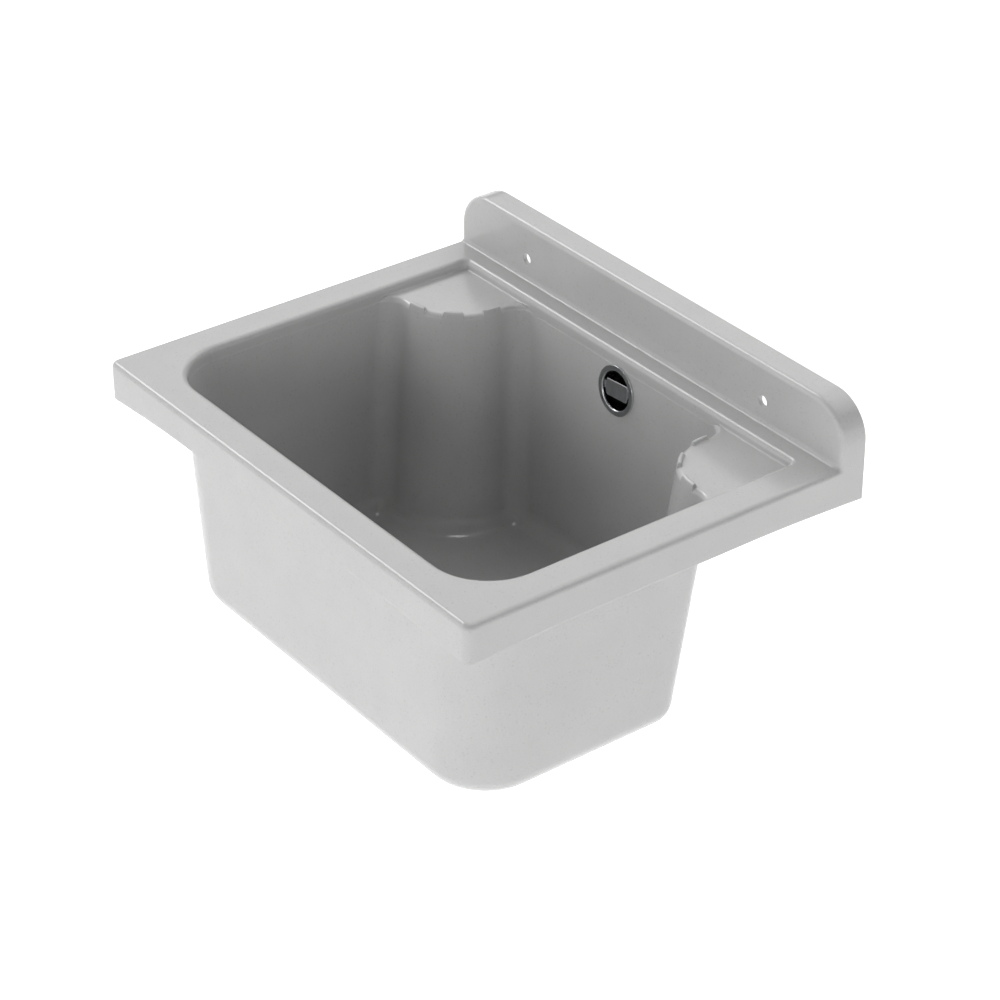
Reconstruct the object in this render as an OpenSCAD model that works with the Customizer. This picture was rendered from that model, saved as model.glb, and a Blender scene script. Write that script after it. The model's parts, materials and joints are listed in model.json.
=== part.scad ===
// Wall-hung utility sink: one moulded basin with an overflow and a screwed waste
// Origin midway between the two wall screws, on the front face of the upstand
// X to the right, Y towards the wall, Z up

/* [Basin outline] */
// Width of the sink
sink_w = 500; // [460:5:620]
// Depth of the sink, front edge to wall
sink_d = 390; // [370:5:480]
// Depth of the bowl below the rim
bowl_depth = 210; // [180:5:250]
// Wall thickness of the moulding
wall_t = 4; // [3:0.5:5]
// Flat width of the side rims
side_rim = 29; // [24:1:40]
// Flat width of the front rim
front_rim = 28; // [24:1:40]
// Flat width of the shelf between bowl and upstand
back_rim = 15.5; // [12:0.5:24]
// Radius of the sink's front corners, seen from above
outer_r = 8; // [7:0.5:14]
// Rounding of the rim's edges
edge_r = 5; // [3:0.5:6]

/* [Skirt] */
// Height of the skirt at the corners
skirt_h = 35; // [28:1:45]
// Rise of the skirt's lower edge along the front
front_arch = 6; // [0:0.5:8]
// Rise of the skirt's lower edge along the sides
side_arch = 4; // [0:0.5:8]
// Length over which the lower edge rises from each corner
arch_run = 120; // [80:5:150]

/* [Upstand] */
// Height of the upstand above the rim
upstand_h = 52; // [44:1:70]
// Thickness of the hollow upstand, front face to wall
upstand_d = 25; // [22:1:32]
// Radius of the upstand's top corners
upstand_r = 35; // [20:1:38]
// Radius of the hollow where the upstand meets the shelf
base_r = 4; // [3:0.5:6]
// Distance between the two wall screw holes
screw_pitch = 310; // [240:5:360]
// Height of the wall screw holes above the rim
screw_up = 19; // [16:0.5:26]
// Diameter of the wall screw holes
screw_hole_d = 10; // [7:0.5:12]

/* [Bowl] */
// Lean of each side wall over the bowl's depth
side_taper = 13.5; // [6:0.5:18]
// Lean of the front wall over the bowl's depth
front_taper = 6; // [4:0.5:16]
// Lean of the back wall over the bowl's depth
back_taper = 18; // [8:0.5:20]
// Radius of the bowl's front corners, seen from above
corner_r = 50; // [36:1:60]
// Radius between walls and floor
floor_r = 15; // [10:1:16]
// Fall of the floor towards the waste
floor_fall = 2.5; // [1:0.5:6]
// Radius of the flat round the waste
waste_flat_r = 44; // [41:1:50]

/* [Corner columns and soap trays] */
// Radius of the round columns in the back corners
column_r = 54.5; // [48:0.5:60]
// Distance of each column's centre from the two walls
column_in = 25; // [20:0.5:30]
// Extra radius of the columns at the floor
column_flare = 7; // [0:0.5:9]
// Radius of the grooves beside the columns
groove_r = 18; // [17:0.5:22]
// Depth of the soap trays below the rim
tray_depth = 8; // [7:0.5:12]
// Rounding of the trays' lips
lip_r = 4; // [2:0.5:5]
// Radius of the trays' own corners
tray_r = 4; // [3:0.5:8]
// Number of raised ridges on each lip
ridge_count = 3; // [1:1:3]
// Distance from one ridge to the next, as a share of the lip's arc
ridge_pitch_share = 0.37; // [0.3:0.005:0.37]
// Place of the middle ridge along the lip's arc, from its front end
ridge_mid_share = 0.525; // [0.48:0.005:0.525]
// Length of each ridge, as a share of the lip's arc
ridge_length_share = 0.17; // [0.1:0.005:0.18]
// Thickness of each ridge at its foot
ridge_t = 4.8; // [4.2:0.1:5.5]
// Height of each ridge above the tray's floor
ridge_h = 3; // [2:0.1:4]

/* [Overflow] */
// Depth of the overflow's centre below the rim
overflow_depth = 33.4; // [30:0.2:45]
// Outer diameter of the rose's flange
rose_d = 45; // [42:0.5:50]
// Diameter of the rose's opening
rose_open_d = 34.5; // [30:0.5:36]
// Thickness of the rose's flange
rose_t = 2; // [1.5:0.1:3]
// Wall of the rose's threaded sleeve
sleeve_t = 1.3; // [1:0.1:2]
// Length of the rose's sleeve behind the flange
sleeve_len = 18; // [14:0.5:22]
// Height of the grip bar across the opening
bar_h = 15.8; // [10:0.2:18]
// Thickness of the grip bar
bar_t = 2.4; // [1.5:0.1:4]
// Depth of the grip bar behind the flange's face
bar_in = 2.6; // [1:0.1:5]
// Turn of the fitted rose about its own axis
rose_turn_angle = 4.6; // [0:0.2:90]
// Thickness of the seal behind the bowl
overflow_seal_t = 3; // [2:0.5:4]
// Width of the seal round the elbow's mouth
overflow_seal_w = 6.5; // [5:0.5:8]
// Wall of the elbow
elbow_t = 2.5; // [2:0.1:3.5]
// Depth of the elbow's cup behind its seal
elbow_depth = 29; // [26:0.5:32]
// Length of the elbow's outlet below the cup's centre
elbow_drop = 47; // [44:1:60]

/* [Overflow pipe] */
// Outer diameter of the overflow pipe
pipe_d = 22; // [18:1:24]
// Wall of the overflow pipe
pipe_t = 1.5; // [1:0.1:2]
// Wall of the sockets that the pipe slides into
socket_t = 3.8; // [3:0.1:4.5]
// Depth of the sockets
socket_depth = 20; // [16:1:26]
// Depth below the rim of the sliding joint's socket
slip_depth = 140; // [130:1:150]
// Radius of the lower pipe's bend, at its centre line
bend_r = 30; // [26:1:34]
// Height of the compression nuts
nut_h = 17; // [14:0.5:20]
// Wall of the compression nuts
nut_t = 2.6; // [2:0.1:3.2]
// Number of grip ribs on a compression nut
nut_ribs = 12; // [8:1:16]
// Height of the cone washers
washer_h = 4; // [3:0.5:5]

/* [Waste] */
// Outer diameter of the strainer flange
flange_d = 70; // [66:1:74]
// Thickness of the flange's sheet
flange_t = 1.2; // [0.8:0.1:1.6]
// Inner diameter of the strainer's dish
dish_d = 43; // [40:0.5:46]
// Depth of the strainer's dish
dish_depth = 9; // [8:0.5:12]
// Number of holes in the strainer
strainer_holes = 8; // [5:1:8]
// Diameter of the strainer's holes
strainer_hole_d = 8; // [6:0.5:9]
// Thickness of the seal under the flange
flange_seal_t = 1.5; // [1:0.1:2]
// Thickness of the seal under the floor
body_seal_t = 4; // [3:0.5:5]
// Width of the waste body's top flange round its cup's bore
body_flange_w = 15.1; // [13:0.1:18]
// Wall of the waste body
body_t = 2.8; // [2.2:0.1:3.4]
// Height of the waste body's cup
body_h = 44; // [42:1:54]
// Outer diameter of the waste's threaded outlet
outlet_d = 47.8; // [46:0.1:48.8]
// Bore of the waste's outlet
outlet_bore_d = 40; // [36:0.5:42]
// Length of the waste's outlet
outlet_len = 20; // [16:1:26]
// Reach of the side inlet from the waste's centre
inlet_reach = 52; // [48:1:60]
// Diameter of the clamping screw
screw_d = 6; // [5:0.5:8]
// Diameter of the clamping screw's head
screw_head_d = 13; // [11:0.5:15]

/* [Plug] */
// Height of the rubber stopper
stopper_h = 7; // [6:0.5:7.5]
// Taper of the stopper's radius
stopper_taper = 1.2; // [0.5:0.1:2]
// Clearance between the stopper and its dish
plug_gap = 0.3; // [0.3:0.1:0.6]
// Diameter of the pull knob
knob_d = 14; // [10:0.5:18]
// Height of the pull knob
knob_h = 9; // [7:0.5:12]

/* [Hidden] */
$fn = 64;

// Overrun of every cut past the face that it opens
cut = 1;
// Radial clearance between pieces that slide together
slide_gap = 0.2;
// Radial clearance between a screw and its thread
thread_gap = 0.05;

// Planes of the outline
rim_z = -screw_up;
front_y = upstand_d - sink_d;
half_w = sink_w / 2;

// Colours of the materials
granite_rgb = [0.78, 0.78, 0.77];
chrome_rgb = [0.70, 0.71, 0.73];
rubber_rgb = [0.13, 0.13, 0.14];
plastic_rgb = [0.90, 0.90, 0.89];
brass_rgb = [0.78, 0.64, 0.32];

function lerp(a, b, s) = a + (b - a) * s;

// Walls of the bowl at a depth below the rim
function lean(taper, d) = taper * d / bowl_depth;
function half_at(d) = half_w - side_rim - edge_r - lean(side_taper, d);
function front_at(d) = front_y + front_rim + edge_r + lean(front_taper, d);
function back_at(d) = -back_rim - edge_r - lean(back_taper, d);
function column_r_at(d) = column_r + lean(column_flare, d);
function column_centre(d) = [half_at(d) - column_in, back_at(d) - column_in];

// Centres of the grooves on both sides of the right-hand column
function groove_side(d) =
    let (reach = column_r_at(d) + groove_r, aside = column_in - groove_r)
    column_centre(d) + [aside, -sqrt(reach * reach - aside * aside)];
function groove_back(d) =
    let (reach = column_r_at(d) + groove_r, aside = column_in - groove_r)
    column_centre(d) + [-sqrt(reach * reach - aside * aside), aside];
// Angle by which each groove's tangent point lies outside the quarter circle
function groove_lead(d) = asin((column_in - groove_r) / (column_r_at(d) + groove_r));

// Points round one half of the bowl, from the front centre to the back centre
front_shares = [0, 0.3, 0.6, 0.85];
corner_steps = 7;
side_shares = [0.25, 0.5, 0.75];
groove_steps = 5;
back_shares = [0.25, 0.5, 0.75, 1];

// Stations round a column: its two ends, the edges and middle of each ridge, and between ridges.
// Each holds its share of the arc and whether it's on the open lip
ridge_side_share = 0.013;
ridge_stations = [for (k = [0:ridge_count - 1])
    let (a = ridge_mid_share + (k - (ridge_count - 1) / 2) * ridge_pitch_share,
         half = ridge_length_share / 2)
    each [if (k > 0) [a - ridge_pitch_share / 2, true], [a - half - ridge_side_share, true],
          [a - half, false], [a, false], [a + half, false], [a + half + ridge_side_share, true]]];
column_steps = len(ridge_stations) + 1;
quarter_angle = 90;
// Angle of one column station
function station_angle(j, lead) =
    lerp(-lead, quarter_angle + lead, j == 0 ? 0 : j == column_steps ? 1 : ridge_stations[j - 1][0]);
function on_lip(j) = j == 0 || j == column_steps || ridge_stations[j - 1][1];

// One half outline of the bowl at depth d, moved inwards by off. The grooves and the column
// draw back by lip, and at the ridges by ridge, as far as the walls let them
function half_outline(d, off, lip = 0, ridge = 0) =
    let (h = half_at(d), f = front_at(d), b = back_at(d), c = column_centre(d),
         gs = groove_side(d), gb = groove_back(d), lead = groove_lead(d),
         corner = [h - corner_r, f + corner_r], rc = corner_r - off, rg = groove_r - off + lip)
    [for (s = front_shares) [corner[0] * s, f + off],
     for (k = [0:corner_steps]) let (a = 90 * k / corner_steps)
         corner + rc * [sin(a), -cos(a)],
     for (s = side_shares) [h - off, lerp(corner[1], gs[1], s)],
     for (k = [0:groove_steps - 1])
         let (a = k / groove_steps * (quarter_angle + lead), p = gs + rg * [cos(a), sin(a)])
         [min(p[0], h - off), p[1]],
     for (j = [0:column_steps])
         let (a = station_angle(j, lead), r = column_r_at(d) + off - (on_lip(j) ? lip : ridge))
         c - r * [sin(a), cos(a)],
     for (k = [groove_steps - 1:-1:0])
         let (a = k / groove_steps * (quarter_angle + lead), p = gb + rg * [sin(a), cos(a)])
         [p[0], min(p[1], b - off)],
     for (s = back_shares) [gb[0] * (1 - s), b - off]];

// Index of the first groove point and the last one, and of the tray's own corner
tray_first = len(front_shares) + corner_steps + 1 + len(side_shares);
tray_last = tray_first + 2 * groove_steps + column_steps;
tray_corner = floor((tray_first + tray_last) / 2);
half_last = tray_last + len(back_shares);
function in_tray(i) = i > tray_first && i < tray_last;
column_first = tray_first + groove_steps;
function on_ridge(i) =
    i >= column_first && i <= column_first + column_steps && !on_lip(i - column_first);

// The same half outline with the tray's square corner in place of the column
function half_rectangle(d, off) =
    let (o = half_outline(d, off), h = half_at(d) - off, b = back_at(d) - off,
         r = tray_r - min(off, 0), run = tray_corner - 1 - tray_first,
         back_run = tray_last - tray_corner - 1)
    [for (i = [0:half_last])
        i < tray_first || i > tray_last ? o[i]
      : i < tray_corner ? [h, lerp(o[tray_first][1], b - r, (i - tray_first) / run)]
      : i == tray_corner ? [h - r, b - r] + r * [cos(45), sin(45)]
      : [lerp(h - r, o[tray_last][0], (i - tray_corner - 1) / back_run), b]];

// Gives every point of a half outline its depth
function at_depth(half, d) = [for (p = half) [p[0], p[1], d]];
// The same with another depth inside the tray
function at_depths(half, d_wall, d_tray) =
    [for (i = [0:half_last]) [half[i][0], half[i][1], in_tray(i) ? d_tray : d_wall]];
// The tray's edge along the walls, with its floor rising a little into its tips
function floor_half(d, off) =
    let (half = half_rectangle(d - wall_ledge, off))
    [for (i = [0:half_last]) let (k = min(i - tray_first, tray_last - i))
        [half[i][0], half[i][1], k > groove_steps / 2 ? d : d - wall_ledge]];
// The lip drawn back by a share of its radius, which runs down the wall where a groove leaves it
// no room, with the ridges drawn back and up as their profile says
function lip_half(share, ridge) =
    let (lip = lip_r * share, d = lip_depth + lip_step * (1 - share),
         half = half_outline(d, 0, lip, ridge[0]))
    [for (i = [0:half_last])
        let (k = min(i - tray_first, tray_last - i),
             room = k < 0 ? 0 : k >= groove_steps ? lip : groove_r * (1 - cos(90 * k / groove_steps)),
             run = 1 - min(room, lip) / lip_r)
        [half[i][0], half[i][1], on_ridge(i) ? ridge[1] : d - lip_r * sqrt(1 - run * run)]];
// A half ring drawn in to a circle round the waste
function round_waste(half, r, d) =
    [for (i = [0:half_last])
        let (v = [half[i][0], half[i][1] - waste_y], a = atan2(v[0], -v[1]))
        [i == 0 || i == half_last ? 0 : r * sin(a), waste_y - r * cos(a), d]];

// Inside of the bowl, from the flat round the waste up to the rim
fillet_steps = 4;
function fillet_in(a, r) = r * (1 - sin(a));
function fillet_up(a, r) = r * (1 - cos(a));
waste_y = (front_at(bowl_depth) + back_at(bowl_depth)) / 2;
flat_depth = bowl_depth + floor_fall;
lip_depth = tray_depth + lip_r;
// Small steps that keep neighbouring rings apart
lip_step = 0.6;
lip_end_depth = lip_depth + 2 * lip_step;
wall_ledge = 1;
tray_in = max(ridge_t, lip_r) + wall_ledge / 2;
// Profiles of the lip and of a ridge, from the bowl's side over the top to the tray's side.
// A ridge's points hold shares of its thickness and of its rise
lip_shares = [0, 0.1, 0.3, 0.6, 0.8, 1];
ridge_out_shares = [[0.04, 0.2], [0.19, 0.85], [0.34, 1]];
ridge_in_shares = [[0.66, 1], [0.85, 0.6], [1, 0]];
ridge_depth = tray_depth - ridge_h;
ridge_profile = concat(
    [for (s = ridge_out_shares) [ridge_t * s[0], lerp(lip_end_depth, ridge_depth, s[1])]],
    [for (s = ridge_in_shares) [ridge_t * s[0], lerp(tray_depth, ridge_depth, s[1])]]);
rim_half = half_rectangle(0, -edge_r);
inside_rings = [
    round_waste(half_outline(bowl_depth, floor_r), waste_flat_r, flat_depth),
    for (k = [0:fillet_steps]) let (a = 90 * k / fillet_steps, d = bowl_depth - fillet_up(a, floor_r))
        at_depth(half_outline(d, fillet_in(a, floor_r)), d),
    at_depth(half_outline(lip_end_depth, 0), lip_end_depth),
    for (k = [0:len(lip_shares) - 1]) lip_half(lip_shares[k], ridge_profile[k]),
    at_depths(half_outline(tray_depth - wall_ledge / 2, 0, tray_in, tray_in),
              tray_depth - wall_ledge / 2, tray_depth),
    floor_half(tray_depth, 0),
    for (a = [0, 30, 60]) let (d = edge_r * (1 - sin(a)))
        at_depth(half_rectangle(d, -edge_r * (1 - cos(a))), d),
    at_depth(rim_half, 0)];

// Outer edge: round the front and sides of the rim, up the ends of the upstand and over its top
edge_front = 5;
edge_side = edge_front + 3;
edge_turn = tray_corner - 1;
edge_post = tray_corner + 1;
edge_arc = edge_post + 1;
edge_top = edge_arc + 5;
function along(i, a, b, axis) =
    (rim_half[i][axis] - rim_half[a][axis]) / (rim_half[b][axis] - rim_half[a][axis]);
// A point of the edge, inset from the outer faces and set back by p from the rim and the upstand's face
function edge_point(i, inset, p, r) =
    i <= edge_front ? [(half_w - outer_r) * along(i, 0, edge_front, 0), front_y + inset, p]
  : i < edge_side ? let (a = 90 * (i - edge_front) / (edge_side - edge_front))
        [half_w - outer_r + (outer_r - inset) * sin(a), front_y + outer_r - (outer_r - inset) * cos(a), p]
  : i <= edge_turn ? [half_w - inset, lerp(front_y + outer_r, p - r, along(i, edge_side, edge_turn, 1)), p]
  : i <= edge_post ? let (a = 90 * (i - edge_turn) / (edge_post - edge_turn))
        [half_w - inset, p - r + r * sin(a), p - r + r * cos(a)]
  : upstand_point(i, inset, p);
function upstand_point(i, inset, y) =
    i < edge_top ? let (a = 90 * (i - edge_arc) / (edge_top - edge_arc), r = upstand_r - inset)
        [half_w - upstand_r + r * cos(a), y, upstand_r - upstand_h - r * sin(a)]
  : [(half_w - upstand_r) * (1 - along(i, edge_top, half_last, 0)), y, inset - upstand_h];
function edge_half(inset, p, r) = [for (i = [0:half_last]) edge_point(i, inset, p, r)];

// Lower edge of the skirt, which rises away from its corners, and the back edge against the wall
function arch(rise, from_corner) = rise * sin(90 * min(1, from_corner / arch_run));
function skirt_drop(x, y) = skirt_h
    - arch(front_arch, half_w - abs(x)) * (y < front_y + outer_r ? 1 : 0)
    - arch(side_arch, min(y - front_y, upstand_d - y)) * (y < front_y + outer_r ? 0 : 1);
function lower_point(i, inset) =
    i < edge_side ? let (p = edge_point(i, inset, 0, 0)) [p[0], p[1], skirt_drop(p[0], p[1])]
  : i <= edge_turn ? let (y = lerp(front_y + outer_r, upstand_d, along(i, edge_side, edge_turn, 1)))
        [half_w - inset, y, skirt_drop(half_w, y)]
  : i <= edge_post ? [half_w - inset, upstand_d, skirt_h * (edge_post - i) / (edge_post - edge_turn)]
  : upstand_point(i, inset, upstand_d);
function lower_half(inset) = [for (i = [0:half_last]) lower_point(i, inset)];

// Rings between the bowl's edge and the outer edge: flat on the rim, and curved up into the upstand
base_shares = [0.76, 0.84, 0.92];
base_steps = len(base_shares);
function base_half(k, bowl, edge, inset, r, drop) =
    [for (i = [0:half_last])
        i <= edge_turn ? lerp(bowl[i], edge[i], base_shares[k])
      : let (turn = min(1, (i - edge_turn) / (edge_post - edge_turn)), a = 90 * turn * k / (base_steps - 1),
             in = inset + base_gap * (base_steps - k),
             x = (half_w - in) * min(1, (half_last - i) / (half_last - edge_post)),
             back = k == 0 ? base_r * (2 - turn) : base_r)
        [x, r * sin(a) - back, drop - r + r * cos(a)]];
base_gap = 2;

// Depth of the recess that the flange and its seal lie in
flange_proud = 0.4;
flange_seat = flange_t + flange_seal_t - flange_proud;

// Underside of the bowl, from the rim down to the flat below the waste
under_r = floor_r + wall_t;
under_bowl = half_rectangle(wall_t, -wall_t);
under_flat_depth = flat_depth + wall_t + flange_seat;
under_tray = tray_depth + wall_t;
underside_rings = [
    at_depth(under_bowl, wall_t),
    floor_half(under_tray, -wall_t),
    at_depths(half_outline(under_tray - wall_ledge / 2, -wall_t, tray_in, tray_in),
              under_tray - wall_ledge / 2, under_tray),
    at_depth(half_outline(under_tray, -wall_t), under_tray),
    at_depth(half_outline(lip_end_depth + wall_t, -wall_t), lip_end_depth + wall_t),
    for (k = [fillet_steps:-1:0])
        let (a = 90 * k / fillet_steps, d = bowl_depth + wall_t - fillet_up(a, under_r))
        at_depth(half_outline(d, fillet_in(a, under_r) - wall_t), d),
    round_waste(half_outline(bowl_depth, floor_r), waste_flat_r, under_flat_depth)];

// All rings of the moulding in order, each closed by its mirror image
rim_edge = edge_half(edge_r, 0, base_r);
inner_edge = edge_half(wall_t, wall_t, base_r + wall_t);
under_rim = at_depth(under_bowl, wall_t);
half_rings = concat(
    inside_rings,
    [for (k = [0:base_steps - 1])
        base_half(k, at_depth(rim_half, 0), rim_edge, edge_r, base_r, 0)],
    [for (a = [0, 30, 60, 90]) edge_half(edge_r * (1 - sin(a)), edge_r * (1 - cos(a)), base_r)],
    [lower_half(0), lower_half(wall_t), inner_edge],
    [for (k = [base_steps - 1:-1:0])
        base_half(k, under_rim, inner_edge, wall_t, base_r + wall_t, wall_t)],
    underside_rings);
ring_points = 2 * half_last;
// The seam down the middle of the flat back is kept clear of the overflow's own middle
back_seam = 1.5;
function full_ring(half) = [
    for (i = [0:half_last]) [i == half_last ? back_seam : half[i][0], half[i][1], rim_z - half[i][2]],
    for (i = [half_last - 1:-1:1]) [-half[i][0], half[i][1], rim_z - half[i][2]]];

module moulding() {
    rings = len(half_rings);
    points = [for (half = half_rings) each full_ring(half)];
    // Each patch is split along its shorter diagonal
    sides = [for (k = [0:rings - 2], i = [0:ring_points - 1])
        let (a = k * ring_points + i, b = k * ring_points + (i + 1) % ring_points,
             c = a + ring_points, d = b + ring_points)
        each norm(points[a] - points[d]) < norm(points[b] - points[c])
            ? [[a, b, d], [a, d, c]] : [[a, b, c], [b, d, c]]];
    caps = [[for (i = [ring_points - 1:-1:0]) i],
            [for (i = [0:ring_points - 1]) (rings - 1) * ring_points + i]];
    polyhedron(points = points, faces = concat(sides, caps), convexity = 8);
}

// Frames of the overflow and of the waste
overflow_tilt = atan(back_taper / bowl_depth);
wall_normal_t = wall_t * cos(overflow_tilt);
module at_overflow() {
    translate([0, back_at(overflow_depth), rim_z - overflow_depth])
        rotate([90 - overflow_tilt, 0, 0]) children();
}
module at_waste(depth) {
    translate([0, waste_y, rim_z - depth]) children();
}
module tube(r, bore, h) {
    difference() {
        cylinder(r = r, h = h);
        translate([0, 0, -cut]) cylinder(r = bore, h = h + 2 * cut);
    }
}

sleeve_r = rose_open_d / 2 + sleeve_t;
overflow_hole_r = sleeve_r + slide_gap;
dish_r = dish_d / 2;
dish_outer_r = dish_r + flange_t;
waste_hole_r = dish_outer_r + slide_gap;
body_flange_r = waste_hole_r + body_flange_w;
flange_r = flange_d / 2;

module basin() {
    color(granite_rgb) difference() {
        moulding();
        at_waste(flat_depth + flange_seat)
            cylinder(r = flange_r + slide_gap, h = flange_seat + cut);
        at_waste(under_flat_depth + cut)
            cylinder(r = waste_hole_r, h = wall_t + flange_seat + 2 * cut);
        at_overflow() translate([0, 0, -wall_normal_t - cut])
            cylinder(r = overflow_hole_r, h = wall_normal_t + 2 * cut);
        for (s = [-1, 1]) translate([s * screw_pitch / 2, -cut, 0])
            rotate([-90, 0, 0]) cylinder(d = screw_hole_d, h = wall_t + 2 * cut);
    }
}

// Flange with a bevelled opening, the sleeve behind it and the bar that turns it
rose_bevel = 0.8;
module overflow_rose() {
    open_r = rose_open_d / 2;
    color(chrome_rgb) at_overflow() rotate([0, 0, rose_turn_angle]) {
        rotate_extrude() polygon([
            [open_r, -sleeve_len], [sleeve_r, -sleeve_len], [sleeve_r, 0], [rose_d / 2, 0],
            [rose_d / 2, rose_t - rose_bevel], [rose_d / 2 - rose_bevel, rose_t],
            [open_r + rose_bevel, rose_t], [open_r, rose_t - rose_bevel]]);
        intersection() {
            translate([-sleeve_r, -bar_h / 2, rose_t - bar_in - bar_t]) cube([2 * sleeve_r, bar_h, bar_t]);
            translate([0, 0, -sleeve_len]) cylinder(r = open_r + sleeve_t / 2, h = sleeve_len + rose_t);
        }
    }
}

seal_bore_r = sleeve_r + slide_gap;
elbow_mouth_r = seal_bore_r + overflow_seal_w;
module overflow_seal() {
    color(rubber_rgb) at_overflow() translate([0, 0, -wall_normal_t - overflow_seal_t])
        tube(elbow_mouth_r, seal_bore_r, overflow_seal_t);
}

// Cup with a stepped mouth, open downwards into a straight outlet with a socket
mouth_t = 4;
cup_r = seal_bore_r + elbow_t;
cup_mid = wall_normal_t + overflow_seal_t + elbow_depth / 2 + mouth_t / 2;
pipe_r = pipe_d / 2;
socket_bore_r = pipe_r + slide_gap;
socket_r = socket_bore_r + socket_t;
pipe_y = back_at(overflow_depth) + cup_mid * cos(overflow_tilt);
elbow_z = rim_z - overflow_depth - cup_mid * sin(overflow_tilt);
elbow_end_z = elbow_z - elbow_drop;
module overflow_elbow() {
    mouth = wall_normal_t + overflow_seal_t;
    color(rubber_rgb) difference() {
        union() {
            at_overflow() translate([0, 0, -mouth - elbow_depth]) cylinder(r = cup_r, h = elbow_depth);
            at_overflow() translate([0, 0, -mouth - mouth_t]) cylinder(r = elbow_mouth_r, h = mouth_t);
            translate([0, pipe_y, elbow_end_z]) cylinder(r = socket_r, h = elbow_drop);
        }
        at_overflow() translate([0, 0, -mouth - elbow_depth + elbow_t])
            cylinder(r = seal_bore_r, h = elbow_depth - elbow_t + cut);
        translate([0, pipe_y, elbow_end_z - cut]) cylinder(r = socket_bore_r, h = socket_depth + cut);
        translate([0, pipe_y, elbow_end_z]) cylinder(r = pipe_r - pipe_t, h = elbow_drop);
    }
}

// Ribbed nut over a socket's end, drawn with its open end up, and the cone washer inside it
nut_bore_r = socket_r + slide_gap;
nut_r = nut_bore_r + nut_t;
nut_floor = 3;
nut_rib_r = 1.4;
module compression_nut() {
    difference() {
        union() {
            cylinder(r = nut_r, h = nut_h);
            for (k = [0:nut_ribs - 1]) rotate([0, 0, 360 * k / nut_ribs])
                translate([nut_r, 0, 0]) cylinder(r = nut_rib_r, h = nut_h, $fn = 24);
        }
        translate([0, 0, -cut]) cylinder(r = socket_bore_r, h = nut_h + 2 * cut);
        translate([0, 0, nut_floor]) cylinder(r = nut_bore_r, h = nut_h);
    }
}
module cone_washer() {
    rotate_extrude() polygon([
        [socket_bore_r, 0], [socket_r, 0], [socket_r, washer_h / 2],
        [lerp(socket_bore_r, socket_r, washer_top_share), washer_h], [socket_bore_r, washer_h]]);
}
washer_top_share = 0.5;
// Distance from a socket's end to the outer face of its nut
nut_reach = washer_h + nut_floor;

module at_elbow_joint() {
    translate([0, pipe_y, elbow_end_z - nut_reach]) children();
}
module elbow_nut() {
    color(plastic_rgb) at_elbow_joint() compression_nut();
}
module elbow_washer() {
    color(rubber_rgb) at_elbow_joint() translate([0, 0, nut_floor]) cone_washer();
}

// Straight pipe from the elbow's socket into the sliding joint's socket
slip_z = rim_z - slip_depth;
upper_top_z = elbow_end_z + socket_depth;
upper_end_z = slip_z - socket_depth;
module upper_pipe() {
    color(plastic_rgb) translate([0, pipe_y, upper_end_z])
        tube(pipe_r, pipe_r - pipe_t, upper_top_z - upper_end_z);
}

// The sliding joint's nut opens downwards
module at_slip_joint() {
    translate([0, pipe_y, slip_z + nut_reach]) mirror([0, 0, 1]) children();
}
module slip_nut() {
    color(plastic_rgb) at_slip_joint() compression_nut();
}
module slip_washer() {
    color(rubber_rgb) at_slip_joint() translate([0, 0, nut_floor]) cone_washer();
}

// Pipe with a socket at its top, a bend under the bowl and a straight end in the waste's inlet
seal_depth = under_flat_depth + body_seal_t;
body_flange_t = 3.5;
inlet_drop = 1;
inlet_depth = seal_depth + body_flange_t + nut_r + nut_rib_r + inlet_drop;
inlet_z = rim_z - inlet_depth;
inlet_end_y = waste_y + inlet_reach;
pipe_stop_y = inlet_end_y - socket_depth;
socket_step = 4;
module lower_pipe() {
    bore_r = pipe_r - pipe_t;
    step_h = upper_end_z - inlet_z - bend_r;
    run = pipe_y - bend_r - pipe_stop_y;
    color(plastic_rgb) translate([0, pipe_y, inlet_z + bend_r]) {
        rotate_extrude() polygon([
            [bore_r, 0], [pipe_r, 0], [pipe_r, step_h - 2 * socket_step], [socket_r, step_h - socket_step],
            [socket_r, step_h + socket_depth], [socket_bore_r, step_h + socket_depth],
            [socket_bore_r, step_h], [bore_r, step_h]]);
        translate([0, -bend_r, 0]) rotate([90, 0, 90]) rotate_extrude(start = -90, angle = 90)
            translate([bend_r, 0]) difference() {
                circle(r = pipe_r);
                circle(r = bore_r);
            }
        translate([0, -bend_r, -bend_r]) rotate([90, 0, 0]) rotate_extrude() polygon([
            [bore_r, 0], [pipe_r, 0], [pipe_r, run], [bore_r, run]]);
    }
}

module at_inlet_joint() {
    translate([0, inlet_end_y + nut_reach, inlet_z]) rotate([90, 0, 0]) children();
}
module inlet_nut() {
    color(plastic_rgb) at_inlet_joint() compression_nut();
}
module inlet_washer() {
    color(rubber_rgb) at_inlet_joint() translate([0, 0, nut_floor]) cone_washer();
}

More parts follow.
